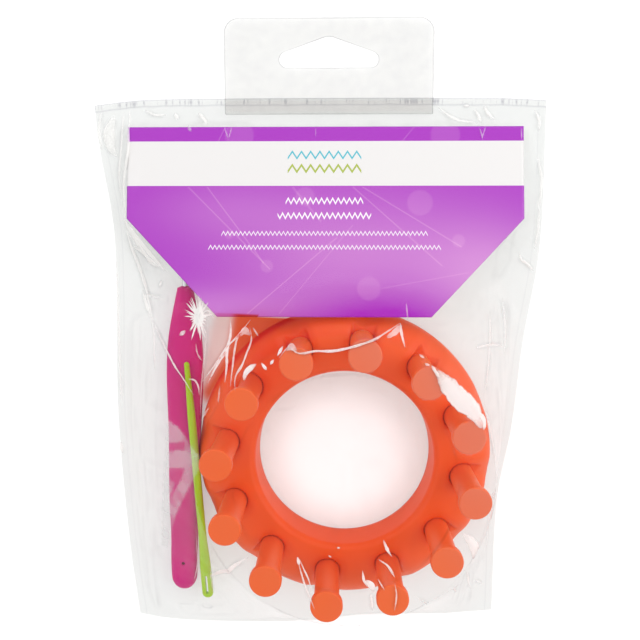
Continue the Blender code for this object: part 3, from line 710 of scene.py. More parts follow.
@dataclass
class LoomHook:
    """The hook: a flat moulded handle with a hang hole near its round end, and a steel pick set in it."""

    finish: MouldedPlastic = MouldedPlastic("magenta moulded ABS", "D41A82", "C81476", roughness=0.38)
    steel: DrawnSteel = DrawnSteel()
    half_width: float = 5.4 * MM
    half_thickness: float = 3.0 * MM
    length: float = 104 * MM
    end: float = 4.6 * MM
    pick_radius: float = 1.1 * MM
    pick_reach: float = 29 * MM
    pick_tail: float = 14 * MM
    pick_bend: float = 5 * MM
    pick_turn: float = 2.4 * MM
    hole_up: float = 10 * MM
    hole_radius: float = 0.6 * MM
    plan: tuple = ((0, 0.74), (0.1, 0.84), (0.17, 0.84), (0.3, 0.95), (0.5, 0.99), (0.84, 1.0), (1, 0.44))
    side: tuple = ((0, 0.8), (0.3, 0.9), (0.7, 0.93), (0.86, 0.88), (1, 0.72))

    def __post_init__(self) -> None:
        """Take the handle's foot from its box in the frame, and its direction from its slide."""
        self.along = joint_axis("hook_shift")
        low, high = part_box("hook_handle")
        lean = self.along[0] / self.along[1]
        widest = max(self.plan, key=lambda pair: pair[1])[0]
        foot_x = high[0] - lean * widest * self.length - self.half_width
        self.foot = np.array([foot_x, low[1], (low[2] + high[2]) / 2])

    def height_over(self, x: np.ndarray, y: np.ndarray) -> np.ndarray:
        """Height of the handle over the plan, or 0 beside it."""
        return bar_height(x, y, self.foot, "hook_shift", self.length, self.half_width, self.half_thickness)

    def make_handle(self) -> None:
        """The handle: superellipse sections whose size flows through the plan's and the side's shares. A
        small round hole goes through it near its round end."""
        rise = (1 - np.cos(np.linspace(0, np.pi / 2, 14))) * self.end
        lengths = np.concatenate([rise, np.linspace(self.end, self.length, 120)[1:]])
        lengths[0] = 0.02 * MM
        share = lengths / self.length
        cap = np.sqrt(np.maximum(0, 1 - np.maximum(0, 1 - lengths / self.end) ** 2))
        lead = smooth(0, 0.8 * MM, self.length - lengths + 0.25 * MM)
        wide = self.half_width * flow(*np.array(self.plan).T, share) * cap * lead
        thick = self.half_thickness * flow(*np.array(self.side).T, share) * cap * lead
        rings = flattened_bar(lengths, wide, thick, 2.4)
        material = self.finish.make()
        handle = add_loft("hook_handle_moulding", lay(rings, self.foot, self.along), material)
        turn = circle(32)
        levels = np.array([-2, 2])[:, None] * self.half_thickness
        hole = self.hole_radius * np.cos(turn), self.hole_up + self.hole_radius * np.sin(turn), levels
        hole = np.stack(np.broadcast_arrays(*hole), axis=-1)
        carve(handle, add_loft("hang_hole_cutter", lay(hole, self.foot, self.along), material))
        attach(handle, "hook")
        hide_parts("hook_handle")

    def make_pick(self) -> None:
        """The pick: a round section carried along a line whose last stretch bends aside as a parabola."""
        straight = self.length + self.pick_reach - self.pick_bend
        share = np.linspace(0, 1, 24)
        start = np.linspace(self.length - self.pick_tail, straight, 30)[:-1]
        y = np.concatenate([start, straight + self.pick_bend * share])
        x = np.concatenate([np.zeros_like(start), self.pick_turn * share ** 2])
        turn = circle(32)
        lean = np.gradient(x, y)[:, None]
        radius = self.pick_radius * (1 - 0.38 * smooth(0, 1, (y - straight) / self.pick_bend))[:, None]
        radius[-3:, 0] *= (0.9, 0.7, 0.35)
        off = radius * np.cos(turn) / np.hypot(1, lean)
        rings = np.stack([x[:, None] + off, y[:, None] - off * lean, radius * np.sin(turn)], axis=-1)
        pick = add_loft("hook_pick_wire", lay(rings, self.foot, self.along), self.steel.make())
        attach(pick, "hook")
        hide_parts("hook_pick")

    def build(self) -> None:
        """Make the handle and the pick."""
        self.make_handle()
        self.make_pick()


@dataclass
class YarnNeedle:
    """The needle: a blunt tapered pin, flat and slotted at its eye end."""

    finish: MouldedPlastic = MouldedPlastic(
        "lime moulded polypropylene", "AED41C", "A2CA10", roughness=0.3, depth=0.3
    )
    length: float = 80 * MM
    tip_past: float = 1.3 * MM
    tip_radius: float = 0.85 * MM
    body_radius: float = 1.3 * MM
    taper_share: float = 0.75
    eye_half_width: float = 1.85 * MM
    eye_half_thickness: float = 0.85 * MM
    eye_length: float = 6.5 * MM
    eye_slot: float = 0.4 * MM
    eye_from_end: float = 1.6 * MM

    def __post_init__(self) -> None:
        """Take the eye end's place from the frame: the low end of the needle's box, on its slide's line."""
        self.along = joint_axis("needle_shift")
        low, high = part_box("yarn_needle")
        self.foot = np.array([high[0] - 0.97 * self.eye_half_width, low[1], 0.0])
        self.foot[2] = (low[2] + high[2]) / 2 - self.along[2] / self.along[1] * self.length / 2
        self.full_length = self.length + self.tip_past

    def height_over(self, x: np.ndarray, y: np.ndarray) -> np.ndarray:
        """Height of the needle over the plan, or 0 beside it."""
        return bar_height(
            x, y, self.foot, "needle_shift", self.full_length, self.eye_half_width, self.body_radius
        )

    def section(self, lengths: np.ndarray) -> tuple[np.ndarray, np.ndarray]:
        """Half width and half thickness along the needle, with round ends.

        Args:
            lengths: where they are wanted, from the eye end.

        Returns:
            The half widths and the half thicknesses.
        """
        share = lengths / self.length
        neck = smooth(0.12, 0.3, share)
        narrowing = (self.tip_radius - self.body_radius) * smooth(self.taper_share, 1.0, share)
        taper = self.body_radius + narrowing
        eye_end = np.sqrt(np.maximum(0, 1 - np.maximum(0, 1 - lengths / self.eye_half_width) ** 2))
        tip = (self.full_length - lengths) / self.tip_radius
        ends = eye_end * np.sqrt(np.maximum(0, 1 - np.maximum(0, 1 - tip) ** 2))
        wide = (self.eye_half_width * (1 - neck) + taper * neck) * ends
        thick = (self.eye_half_thickness * (1 - neck) + taper * neck) * ends
        return wide, thick

    def build(self) -> None:
        """The needle, with its eye cut through by a slot whose section is a stadium."""
        ease = 1 - np.cos(np.linspace(0, np.pi / 2, 12))
        lengths = np.concatenate([
            self.eye_half_width * ease,
            np.linspace(self.eye_half_width, self.full_length - self.tip_radius, 160)[1:-1],
            self.full_length - self.tip_radius * ease[::-1],
        ])
        lengths[0] += 0.02 * MM
        lengths[-1] -= 0.02 * MM
        rings = flattened_bar(lengths, *self.section(lengths), 2.2)
        material = self.finish.make()
        needle = add_loft("yarn_needle_moulding", lay(rings, self.foot, self.along), material)
        half = self.eye_length / 2 - self.eye_slot
        turn = circle(40)
        slot_x = self.eye_slot * np.cos(turn)
        slot_y = self.eye_slot * np.sin(turn) + np.sign(np.sin(turn)) * half
        slot_y += self.eye_from_end + self.eye_length / 2
        levels = np.array([-3, 3])[:, None] * self.eye_half_thickness
        slot = np.stack(np.broadcast_arrays(slot_x, slot_y, levels), axis=-1)
        carve(needle, add_loft("eye_cutter", lay(slot, self.foot, self.along), material))
        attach(needle, "needle")
        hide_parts("yarn_needle")


def carve(thing: Object, cutter: Object) -> None:
    """Cut one piece's shape out of another, and remove the cutter."""
    step = thing.modifiers.new("cut", "BOOLEAN")
    step.operation = "DIFFERENCE"
    step.solver = "EXACT"
    step.object = cutter
    graph = bpy.context.evaluated_depsgraph_get()
    mesh = bpy.data.meshes.new_from_object(thing.evaluated_get(graph))
    thing.modifiers.clear()
    thing.data = mesh
    bpy.data.objects.remove(cutter)
    mesh.shade_smooth()
    mesh.set_sharp_from_angle(angle=math.radians(40))


# ---------------------------------------------------------------- header card


@dataclass(frozen=True)
class StitchRow:
    """A printed row of knit stitches, in mm: a zigzag of V strokes centred on the card."""

    up: float
    half_run: float
    pitch: float
    rise: float
    stroke: float
    colour: str


@dataclass(frozen=True)
class Strand:
    """A printed thread: a straight pale line from one place on the card to another, in mm from its bottom
    middle."""

    start: tuple[float, float]
    stop: tuple[float, float]
    half: float = 0.3
    depth: float = 0.3


@dataclass(frozen=True)
class Dot:
    """A printed pale dot, in mm from the card's bottom middle."""

    middle: tuple[float, float]
    radius: float
    depth: float = 0.13


@dataclass(frozen=True)
class PrintedCard(Finish):
    """Coated paperboard, offset printed and varnished: a smooth satin face whose ink deepens and pales
    across the sheet, plain stitch motifs in lighter inks, and bare board at its edges and on its back."""

    name: str = "coated paperboard, offset printed"
    deep: str = "A81EC0"
    pale: str = "E2A4DE"
    white: str = "EEECEB"
    board: str = "EDEBE6"
    band_middle: float = 48.5 * MM
    band_half: float = 7.1 * MM
    border_middle: float = 61.25 * MM
    border_half: float = 0.7 * MM
    rows: tuple[StitchRow, ...] = (
        StitchRow(51.2, 11.6, 2.9, 2.2, 0.42, "5BC0D0"),
        StitchRow(46.9, 11.6, 2.9, 2.2, 0.5, "AFBE55"),
        StitchRow(36.6, 12.2, 1.75, 1.7, 0.42, "FBF7FC"),
        StitchRow(31.9, 14.7, 1.75, 1.7, 0.42, "FBF7FC"),
        StitchRow(26.3, 32.4, 1.35, 1.25, 0.26, "F8EFFA"),
        StitchRow(21.9, 36.5, 1.35, 1.25, 0.26, "F8EFFA"),
    )
    strands: tuple[Strand, ...] = (
        Strand((-43, 41), (-17, 15)), Strand((-37, 41), (-19, 17)), Strand((-24, 1), (4, 25)),
        Strand((-14, 1), (9, 29), 0.25, 0.22), Strand((9, 41), (37, 16)), Strand((12, 41), (43, 22)),
        Strand((-10, 41), (-1, 30), 0.5, 0.2), Strand((18, 9), (45, 14), 0.25, 0.2),
        Strand((-34, 55), (-31, 61), 0.25), Strand((24, 55), (29, 61), 0.25),
    )
    dots: tuple[Dot, ...] = (
        Dot((-18, 16), 2.0), Dot((14, 9), 3.7), Dot((30, 36), 4.0), Dot((-27, 57.5), 4.6),
        Dot((38, 57.5), 4.6), Dot((-6, 38), 3.0, 0.12), Dot((42, 24), 2.0), Dot((-30, 26), 1.4),
    )
    dot_edge: float = 0.3
    fibre: float = 0.5 * MM
    roughness: tuple[float, float] = (0.4, 0.44)

    def threaded(self, tree: NodeTree, place: NodeSocket, strand: Strand) -> NodeSocket:
        """Paleness of a strand: deepest on its line and gone at half its width, between its two ends.

        Args:
            tree: the material's nodes.
            place: the place on the card.
            strand: the strand.

        Returns:
            The paleness's socket.
        """
        start, stop = np.array(strand.start) * MM, np.array(strand.stop) * MM
        run = float(np.hypot(*(stop - start)))
        way = (stop - start) / run
        side = np.array([-way[1], way[0]])
        over, far = (
            add(tree, "ShaderNodeVectorMath", {1: (*axis, 0)}, {0: place}, operation="DOT_PRODUCT")["Value"]
            for axis in (side, way)
        )
        off = add(tree, "ShaderNodeMath", {1: float(start @ side)}, {0: over}, operation="SUBTRACT")[0]
        off = add(tree, "ShaderNodeMath", {}, {0: off}, operation="ABSOLUTE")[0]
        spread = {"From Max": strand.half * MM, "To Min": strand.depth, "To Max": 0.0}
        line = add(tree, "ShaderNodeMapRange", spread, {"Value": off})[0]
        ends = {1: float(start @ way) + run / 2, 2: run / 2}
        on = add(tree, "ShaderNodeMath", ends, {0: far}, operation="COMPARE")[0]
        return add(tree, "ShaderNodeMath", {}, {0: line, 1: on}, operation="MULTIPLY")[0]

    def dotted(self, tree: NodeTree, place: NodeSocket, dot: Dot) -> NodeSocket:
        """Paleness of a dot: even to just inside its radius, and gone just outside it.

        Args:
            tree: the material's nodes.
            place: the place on the card.
            dot: the dot.

        Returns:
            The paleness's socket.
        """
        middle = {1: (dot.middle[0] * MM, dot.middle[1] * MM, 0)}
        far = add(tree, "ShaderNodeVectorMath", middle, {0: place}, operation="DISTANCE")["Value"]
        edge = {"From Min": (dot.radius - self.dot_edge) * MM, "From Max": (dot.radius + self.dot_edge) * MM}
        edge.update({"To Min": dot.depth, "To Max": 0.0})
        return add(tree, "ShaderNodeMapRange", edge, {"Value": far})[0]

    def stitched(self, tree: NodeTree, across: NodeSocket, up: NodeSocket, row: StitchRow) -> NodeSocket:
        """Mask of a stitch row: 1 where the height is within a stroke of a triangle wave along the card.

        Args:
            tree: the material's nodes.
            across: distance from the card's middle.
            up: distance from the card's bottom edge.
            row: the row.

        Returns:
            The mask's socket.
        """
        wave = add(tree, "ShaderNodeMath", {1: row.pitch / 2 * MM}, {0: across}, operation="PINGPONG")
        place = {1: 2 * row.rise / row.pitch, 2: (row.up - row.rise / 2) * MM}
        line = add(tree, "ShaderNodeMath", place, {0: wave[0]}, operation="MULTIPLY_ADD")
        stroke, extent = {2: row.stroke * MM}, {1: 0.0, 2: row.half_run * MM}
        on = add(tree, "ShaderNodeMath", stroke, {0: up, 1: line[0]}, operation="COMPARE")
        run = add(tree, "ShaderNodeMath", extent, {0: across}, operation="COMPARE")
        both = {0: on[0], 1: run[0]}
        return add(tree, "ShaderNodeMath", {}, both, operation="MULTIPLY")[0]

    def printed(self, tree: NodeTree, place: NodeSocket) -> NodeSocket:
        """The print's colour: the ink from deep to pale, then the white bands, and the stitches over them.

        Args:
            tree: the material's nodes.
            place: the place on the card.

        Returns:
            The colour's socket.
        """
        across, up, _ = add(tree, "ShaderNodeSeparateXYZ", {}, {0: place})
        glow = add(tree, "ShaderNodeAttribute", attribute_name="glow")["Fac"]
        pales = [self.threaded(tree, place, strand) for strand in self.strands]
        pales += [self.dotted(tree, place, dot) for dot in self.dots]
        for pale in pales:
            glow = add(tree, "ShaderNodeMath", {}, {0: glow, 1: pale}, operation="ADD")[0]
        inks = {6: linear(self.deep), 7: linear(self.pale)}
        ink = add(tree, "ShaderNodeMix", inks, {"Factor": glow}, data_type="RGBA")[2]
        layers = []
        for middle, half in ((self.band_middle, self.band_half), (self.border_middle, self.border_half)):
            band = add(tree, "ShaderNodeMath", {1: middle, 2: half}, {0: up}, operation="COMPARE")
            layers.append((band[0], self.white))
        layers += [(self.stitched(tree, across, up, row), row.colour) for row in self.rows]
        for on, colour in layers:
            under = {"Factor": on, 6: ink}
            ink = add(tree, "ShaderNodeMix", {7: linear(colour)}, under, data_type="RGBA")[2]
        return ink

    def shader(self, tree: NodeTree) -> NodeSocket:
        """The shader, on the piece's flat map and its glow and print attributes."""
        place = add(tree, "ShaderNodeUVMap", uv_map="flat")[0]
        face = add(tree, "ShaderNodeAttribute", attribute_name="print")["Fac"]
        layers = {"Factor": face, 7: self.printed(tree, place)}
        colour = add(tree, "ShaderNodeMix", {6: linear(self.board)}, layers, data_type="RGBA")[2]
        grain = add(tree, "ShaderNodeTexNoise", {"Scale": 1 / self.fibre, "Detail": 2.0}, {"Vector": place})
        relief = {"Strength": 0.02, "Distance": 0.03 * MM}
        bump = add(tree, "ShaderNodeBump", relief, {"Height": grain["Fac"]})[0]
        ranges = {"To Min": self.roughness[0], "To Max": self.roughness[1]}
        rough = add(tree, "ShaderNodeMapRange", ranges, {"Value": grain["Fac"]})[0]
        links = {"Base Color": colour, "Roughness": rough, "Normal": bump}
        return add(tree, "ShaderNodeBsdfPrincipled", {"IOR": 1.36}, links)[0]


@dataclass
class HeaderCard:
    """The header card: a flat board with its lower corners cut off, which slopes up from the top weld."""

    finish: PrintedCard = PrintedCard()
    slope: float = math.radians(9.8)
    cad_thickness: float = 0.5 * MM
    thickness: float = 0.36 * MM
    chamfer_across: float = 29.0 * MM
    chamfer_up: float = 31.0 * MM
    rows: int = 150
    columns: int = 160
    pale_places: tuple[tuple[float, float, float, float, float], ...] = (
        (-0.65, 0.05, 0.5, 0.1, 0.33), (0.85, 0.2, 0.32, 0.27, 0.5), (-0.5, 0.56, 0.4, 0.16, 0.2),
        (0.2, 0.28, 0.65, 0.35, 0.52), (0.3, -0.05, 0.4, 0.24, -0.45),
    )

    def __post_init__(self) -> None:
        """Take the board's middle, width, length and top edge from the node's box."""
        low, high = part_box("header_card")
        self.middle_x = (low[0] + high[0]) / 2
        self.half_width = (high[0] - low[0]) / 2
        self.length = (high[2] - low[2] - self.cad_thickness * math.cos(self.slope)) / math.sin(self.slope)
        self.top_y = high[1] - self.cad_thickness * math.sin(self.slope)
        self.top_z = low[2]

    def half_at(self, up: np.ndarray) -> np.ndarray:
        """Half of the board's width at a distance from its bottom edge."""
        return self.half_width - self.chamfer_across * np.clip(1 - up / self.chamfer_up, 0, 1)

    def height_over(self, x: np.ndarray, y: np.ndarray) -> np.ndarray:
        """Height of the board's face over the plan, or 0 beside it."""
        up = self.length - (self.top_y - y) / math.cos(self.slope)
        inside = (up >= 0) & (up <= self.length) & (np.abs(x - self.middle_x) <= self.half_at(up))
        face = self.top_z + (self.length - up) * math.sin(self.slope) + self.cad_thickness
        return np.where(inside, face, 0.0)

    def build(self) -> None:
        """The board: at each row up it, a flat loop of its width there."""
        cut = np.linspace(0, self.chamfer_up, self.rows // 2)
        up = np.concatenate([cut, np.linspace(self.chamfer_up, self.length, self.rows // 2)[1:]])[:, None]
        share = np.linspace(-1, 1, self.columns)[None]
        half = self.half_at(up)
        across = np.hstack([half * share, half * share[:, ::-1]])
        low = (self.cad_thickness - self.thickness) / 2
        lift = np.repeat([low + self.thickness, low], self.columns)[None]
        lift, up = np.broadcast_arrays(lift, up)
        lift, up = np.broadcast_to(lift, across.shape), np.broadcast_to(up, across.shape)
        down = self.length - up
        y = self.top_y - down * math.cos(self.slope) + lift * math.sin(self.slope)
        z = self.top_z + down * math.sin(self.slope) + lift * math.cos(self.slope)
        points = np.stack([across + self.middle_x, y, z], axis=-1)
        card = add_loft("header_card_board", points, self.finish.make())
        ends = [0.0, 0.0]
        front = np.repeat([1.0, 0.0], self.columns)[None] + np.zeros_like(across)
        u, v = across / self.half_width, up / self.length
        glow = 0.05 + np.zeros_like(u + v)
        for middle_u, middle_v, wide, high, depth in self.pale_places:
            glow += depth * np.exp(-(((u - middle_u) / wide) ** 2) - ((v - middle_v) / high) ** 2)
        paint(card, "glow", np.concatenate([np.clip(glow, 0, 1).ravel(), ends]))
        paint(card, "print", np.concatenate([front.ravel(), ends]))
        heights = np.concatenate([up.ravel(), [0.0, self.length]])
        map_flat(card, np.concatenate([across.ravel(), ends]), heights)
        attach(card, "pouch")
        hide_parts("header_card")


# ---------------------------------------------------------------- films


@dataclass(frozen=True)
class ClearFilm(Glazed):
    """Cast polypropylene film, glass clear and glossy: both its faces mirror, so it mirrors twice what one
    face does. Slack film is a little milky, and where it is welded it is pressed into fine ribs. Its tint
    also holds painted shade on sloping folds and a painted reflection of the ring, and its milky white
    also serves painted glare and a painted sheen."""

    clear: str = "FEFEFE"
    milky: str = "EBECEB"
    rib_pitch: float = 0.9 * MM
    rib_depth: float = 0.4
    cloud_size: float = 3.5 * MM
    cloud_depth: float = 0.35
    veil: float = 0.3
    # White of the haze: the film's own milkiness, and also painted glare and a painted sheen where the haze
    # holds them.
    milk_and_glare_white: str = "F8F8F8"
    # Painted shade on the film where its folds slope.
    painted_slope_shade: str = "D6D6D8"
    # Painted reflection of the ring's orange side.
    painted_ring_tint: str = "F05E2E"
    line: str = "DDDDE0"
    seam: float = 2.1
    seam_sway: float = 0.5
    sway_size: float = 4 * MM
    tooth_pitch: float = 0.9 * MM

    def along_edge(
        self, tree: NodeTree, distance: NodeSocket, place: float, half: float, depth: float
    ) -> NodeSocket:
        """A line along an edge: deepest at a distance from the edge, and gone at half a width from there.

        Args:
            tree: the material's nodes.
            distance: how far each point is from the edge, in mm.
            place: the line's distance from the edge, in mm.
            half: half of its width, in mm.
            depth: how deep the line's tint is in its middle.

        Returns:
            The line's tint.
        """
        off = add(tree, "ShaderNodeMath", {1: place}, {0: distance}, operation="SUBTRACT")
        off = add(tree, "ShaderNodeMath", {}, {0: off[0]}, operation="ABSOLUTE")
        spread = {"From Max": half, "To Min": depth, "To Max": 0.0}
        return add(tree, "ShaderNodeMapRange", spread, {"Value": off[0]})[0]

    def relief(self, tree: NodeTree, place: NodeSocket, weld: NodeSocket) -> NodeSocket:
        """The face's normal: a fine cloud all over, and fine ribs where the film is welded.

        Args:
            tree: the material's nodes.
            place: the place on the film.
            weld: the mask of the welds.

        Returns:
            The normal's socket.
        """
        clouds = {"Scale": 1 / self.cloud_size, "Detail": 3.0}
        cloud = add(tree, "ShaderNodeTexNoise", clouds, {"Vector": place})
        ripple = {"Scale": 0.314 / self.rib_pitch, "Distortion": 1.5}
        ribs = add(tree, "ShaderNodeTexWave", ripple, {"Vector": place})
        pressed = add(tree, "ShaderNodeMath", {1: self.rib_depth}, {0: weld}, operation="MULTIPLY")[0]
        ribbed = add(tree, "ShaderNodeMath", {}, {0: ribs["Fac"], 1: pressed}, operation="MULTIPLY")
        both = {0: cloud["Fac"], 2: ribbed[0]}
        height = add(tree, "ShaderNodeMath", {1: self.cloud_depth}, both, operation="MULTIPLY_ADD")[0]
        depth = {"Strength": 0.35, "Distance": 0.12 * MM}
        return add(tree, "ShaderNodeBump", depth, {"Height": height})[0]

    def weld_marks(
        self, tree: NodeTree, place: NodeSocket, top: NodeSocket, side: NodeSocket
    ) -> list[NodeSocket]:
        """The welds' marks: the film's edge, the swaying seam, the side weld's line and upright teeth.

        Args:
            tree: the material's nodes.
            place: the place on the film.
            top: how far each point is from the top edge, in mm.
            side: how far each point is from the side edges, in mm.

        Returns:
            Each mark's tint.
        """
        swaying = {"Scale": 1 / self.sway_size, "Detail": 1.0}
        wander = add(tree, "ShaderNodeTexNoise", swaying, {"Vector": place})
        sway = {0: wander["Fac"], 2: top}
        swayed = add(tree, "ShaderNodeMath", {1: self.seam_sway}, sway, operation="MULTIPLY_ADD")[0]
        upright = add(tree, "ShaderNodeVectorMath", {1: (1, 0.1, 0)}, {0: place}, operation="MULTIPLY")[0]
        uneven = {"Scale": 1 / self.tooth_pitch, "Detail": 0.0}
        rough = add(tree, "ShaderNodeTexNoise", uneven, {"Vector": upright})
        gate = {"From Min": 0.58, "From Max": 0.72}
        tooth = add(tree, "ShaderNodeMapRange", gate, {"Value": rough["Fac"]})[0]
        near = self.along_edge(tree, top, 1.1, 1.4, 0.7)
        return [
            self.along_edge(tree, top, 0.0, 0.4, 0.6),
            self.along_edge(tree, swayed, self.seam + 0.5 * self.seam_sway, 0.4, 0.36),
            self.along_edge(tree, side, 2.5, 0.3, 0.12),
            add(tree, "ShaderNodeMath", {}, {0: near, 1: tooth}, operation="MULTIPLY")[0],
        ]

    def shader(self, tree: NodeTree) -> NodeSocket:
        """The shader, on the piece's haze, weld, slope, blush, from_top and from_side attributes."""
        place = add(tree, "ShaderNodeTexCoord")["Object"]
        haze, weld, slope, blush, top, side = (
            add(tree, "ShaderNodeAttribute", attribute_name=name)["Fac"]
            for name in ("haze", "weld", "slope", "blush", "from_top", "from_side")
        )
        tints = {6: linear(self.clear), 7: linear(self.milky)}
        tint = add(tree, "ShaderNodeMix", tints, {"Factor": haze}, data_type="RGBA")[2]
        # Painted shade: the tint goes grey where the film's folds slope, standing in for darker surroundings
        # mirrored in their flanks.
        slopes = {"From Min": 0.05, "From Max": 0.6, "To Max": 0.6}
        slope_shade_share = add(tree, "ShaderNodeMapRange", slopes, {"Value": slope})[0]
        # Painted reflection: the tint also turns orange where the ring's side is taken to be mirrored.
        layers = [(slope_shade_share, self.painted_slope_shade), (blush, self.painted_ring_tint)]
        layers += [(mark, self.line) for mark in self.weld_marks(tree, place, top, side)]
        for share, colour in layers:
            under = {"Factor": share, 6: tint}
            tint = add(tree, "ShaderNodeMix", {7: linear(colour)}, under, data_type="RGBA")[2]
        through = add(tree, "ShaderNodeBsdfTransparent", {}, {"Color": tint})[0]
        # The haze's milky white, which also paints glare and sheen.
        milk_and_glare = add(tree, "ShaderNodeBsdfDiffuse", {"Color": linear(self.milk_and_glare_white), "Roughness": 0.5})[0]
        share = add(tree, "ShaderNodeMath", {1: self.veil}, {0: haze}, operation="MULTIPLY")[0]
        body = add(tree, "ShaderNodeMixShader", {}, {0: share, 1: through, 2: milk_and_glare})[0]
        return self.glazed(tree, body, self.relief(tree, place, weld))


class Fold(Enum):
    """How a crease stands in the film."""

    SHARP = "a pressed line"
    SOFT = "a rounded ridge"


@dataclass(frozen=True)
class PaintedGlint(Finish):
    """Painted glints on the film's folds: white streaks that stand in for lamp light mirrored in its
    creases.
    """

    name: str = "strain-whitened polypropylene"
    white: str = "FFFEFC"
    streak: float = 0.6 * MM
    passed: float = 0.3

    def shader(self, tree: NodeTree) -> NodeSocket:
        """The shader, on the piece's white attribute, which a cloud makes uneven."""
        place = add(tree, "ShaderNodeTexCoord")["Object"]
        cloud = add(tree, "ShaderNodeTexNoise", {"Scale": 1 / self.streak, "Detail": 2.0}, {"Vector": place})
        ranges = {"To Min": 0.85, "To Max": 1.35}
        uneven = add(tree, "ShaderNodeMapRange", ranges, {"Value": cloud["Fac"]})[0]
        white = add(tree, "ShaderNodeAttribute", attribute_name="white")["Fac"]
        both = {0: uneven, 1: white}
        share = add(tree, "ShaderNodeMath", {}, both, operation="MULTIPLY", use_clamp=True)[0]
        colour = {"Color": linear(self.white)}
        lit = add(tree, "ShaderNodeBsdfDiffuse", colour)[0]
        glowing = add(tree, "ShaderNodeBsdfTranslucent", colour)[0]
        glint_body = add(tree, "ShaderNodeMixShader", {0: self.passed}, {1: lit, 2: glowing})[0]
        through = add(tree, "ShaderNodeBsdfTransparent", {"Color": (1, 1, 1, 1)})[0]
        return add(tree, "ShaderNodeMixShader", {}, {0: share, 1: through, 2: glint_body})[0]


@dataclass(frozen=True)
class Crease:
    """One crease of the front film, in mm: the points its line flows through, half the width of the painted
    glint along it, how white that glint is, and the height and half width of the ridge that it makes in the
    film."""

    line: tuple[tuple[float, float], ...]
    mark: float = 0.3
    white: float = 0.8
    height: float = 0.35
    half_width: float = 1.0
    fold: Fold = Fold.SHARP

    def trace(self, count: int = 14) -> np.ndarray:
        """Points along the line, in metres, on a smooth curve through those given."""
        given = np.array(self.line) * MM
        if len(given) == 2:
            return along(given, count)
        run = run_of(given)
        at = np.linspace(0, run[-1], count)
        return np.stack([flow(run, given[:, i], at) for i in (0, 1)], axis=1)

    def lift(self, x: np.ndarray, y: np.ndarray) -> np.ndarray:
        """The height that the crease adds. Off its line it falls as a square for a sharp fold, or a rounded
        bump, and it fades at both ends.

        Args:
            x: places across.
            y: places up.

        Returns:
            The added height at each place.
        """
        path, reach = self.trace(), self.half_width * MM
        low, high = path.min(axis=0) - reach, path.max(axis=0) + reach
        near = (x >= low[0]) & (x <= high[0]) & (y >= low[1]) & (y <= high[1])
        spots = np.stack([x[near], y[near]], axis=1)
        best, share = np.full(len(spots), np.inf), np.zeros(len(spots))
        for i, (start, end) in enumerate(zip(path, path[1:])):
            step = end - start
            t = np.clip((spots - start) @ step / (step @ step), 0, 1)
            off = np.hypot(*(spots - start - t[:, None] * step).T)
            closer = off < best
            best[closer], share[closer] = off[closer], (i + t[closer]) / (len(path) - 1)
        rest = np.clip(1 - best / reach, 0, 1)
        shape = rest ** 2 if self.fold is Fold.SHARP else rest * rest * (3 - 2 * rest)
        added = np.zeros_like(x)
        added[near] = self.height * MM * shape * smooth(0, 0.22, share) * smooth(0, 0.22, 1 - share)
        return added


@dataclass(frozen=True)
class Patch:
    """A patch of the front film that looks other than the rest: its outline, in mm, and how strongly."""

    outline: tuple[tuple[float, float], ...]
    strength: float

    def over(self, x: np.ndarray, y: np.ndarray) -> np.ndarray:
        """How strong it is at each place: it is inside where a line to its right crosses the outline an odd
        number of times.

        Args:
            x: places across.
            y: places up.

        Returns:
            The strength at each place.
        """
        inside = np.zeros(x.shape, bool)
        corners = np.array(self.outline) * MM
        for (x0, y0), (x1, y1) in zip(corners, np.roll(corners, -1, axis=0)):
            spans = (y0 > y) != (y1 > y)
            inside ^= spans & (x < x0 + (x1 - x0) * (y - y0) / (y1 - y0 if y1 != y0 else 1.0))
        return self.strength * inside


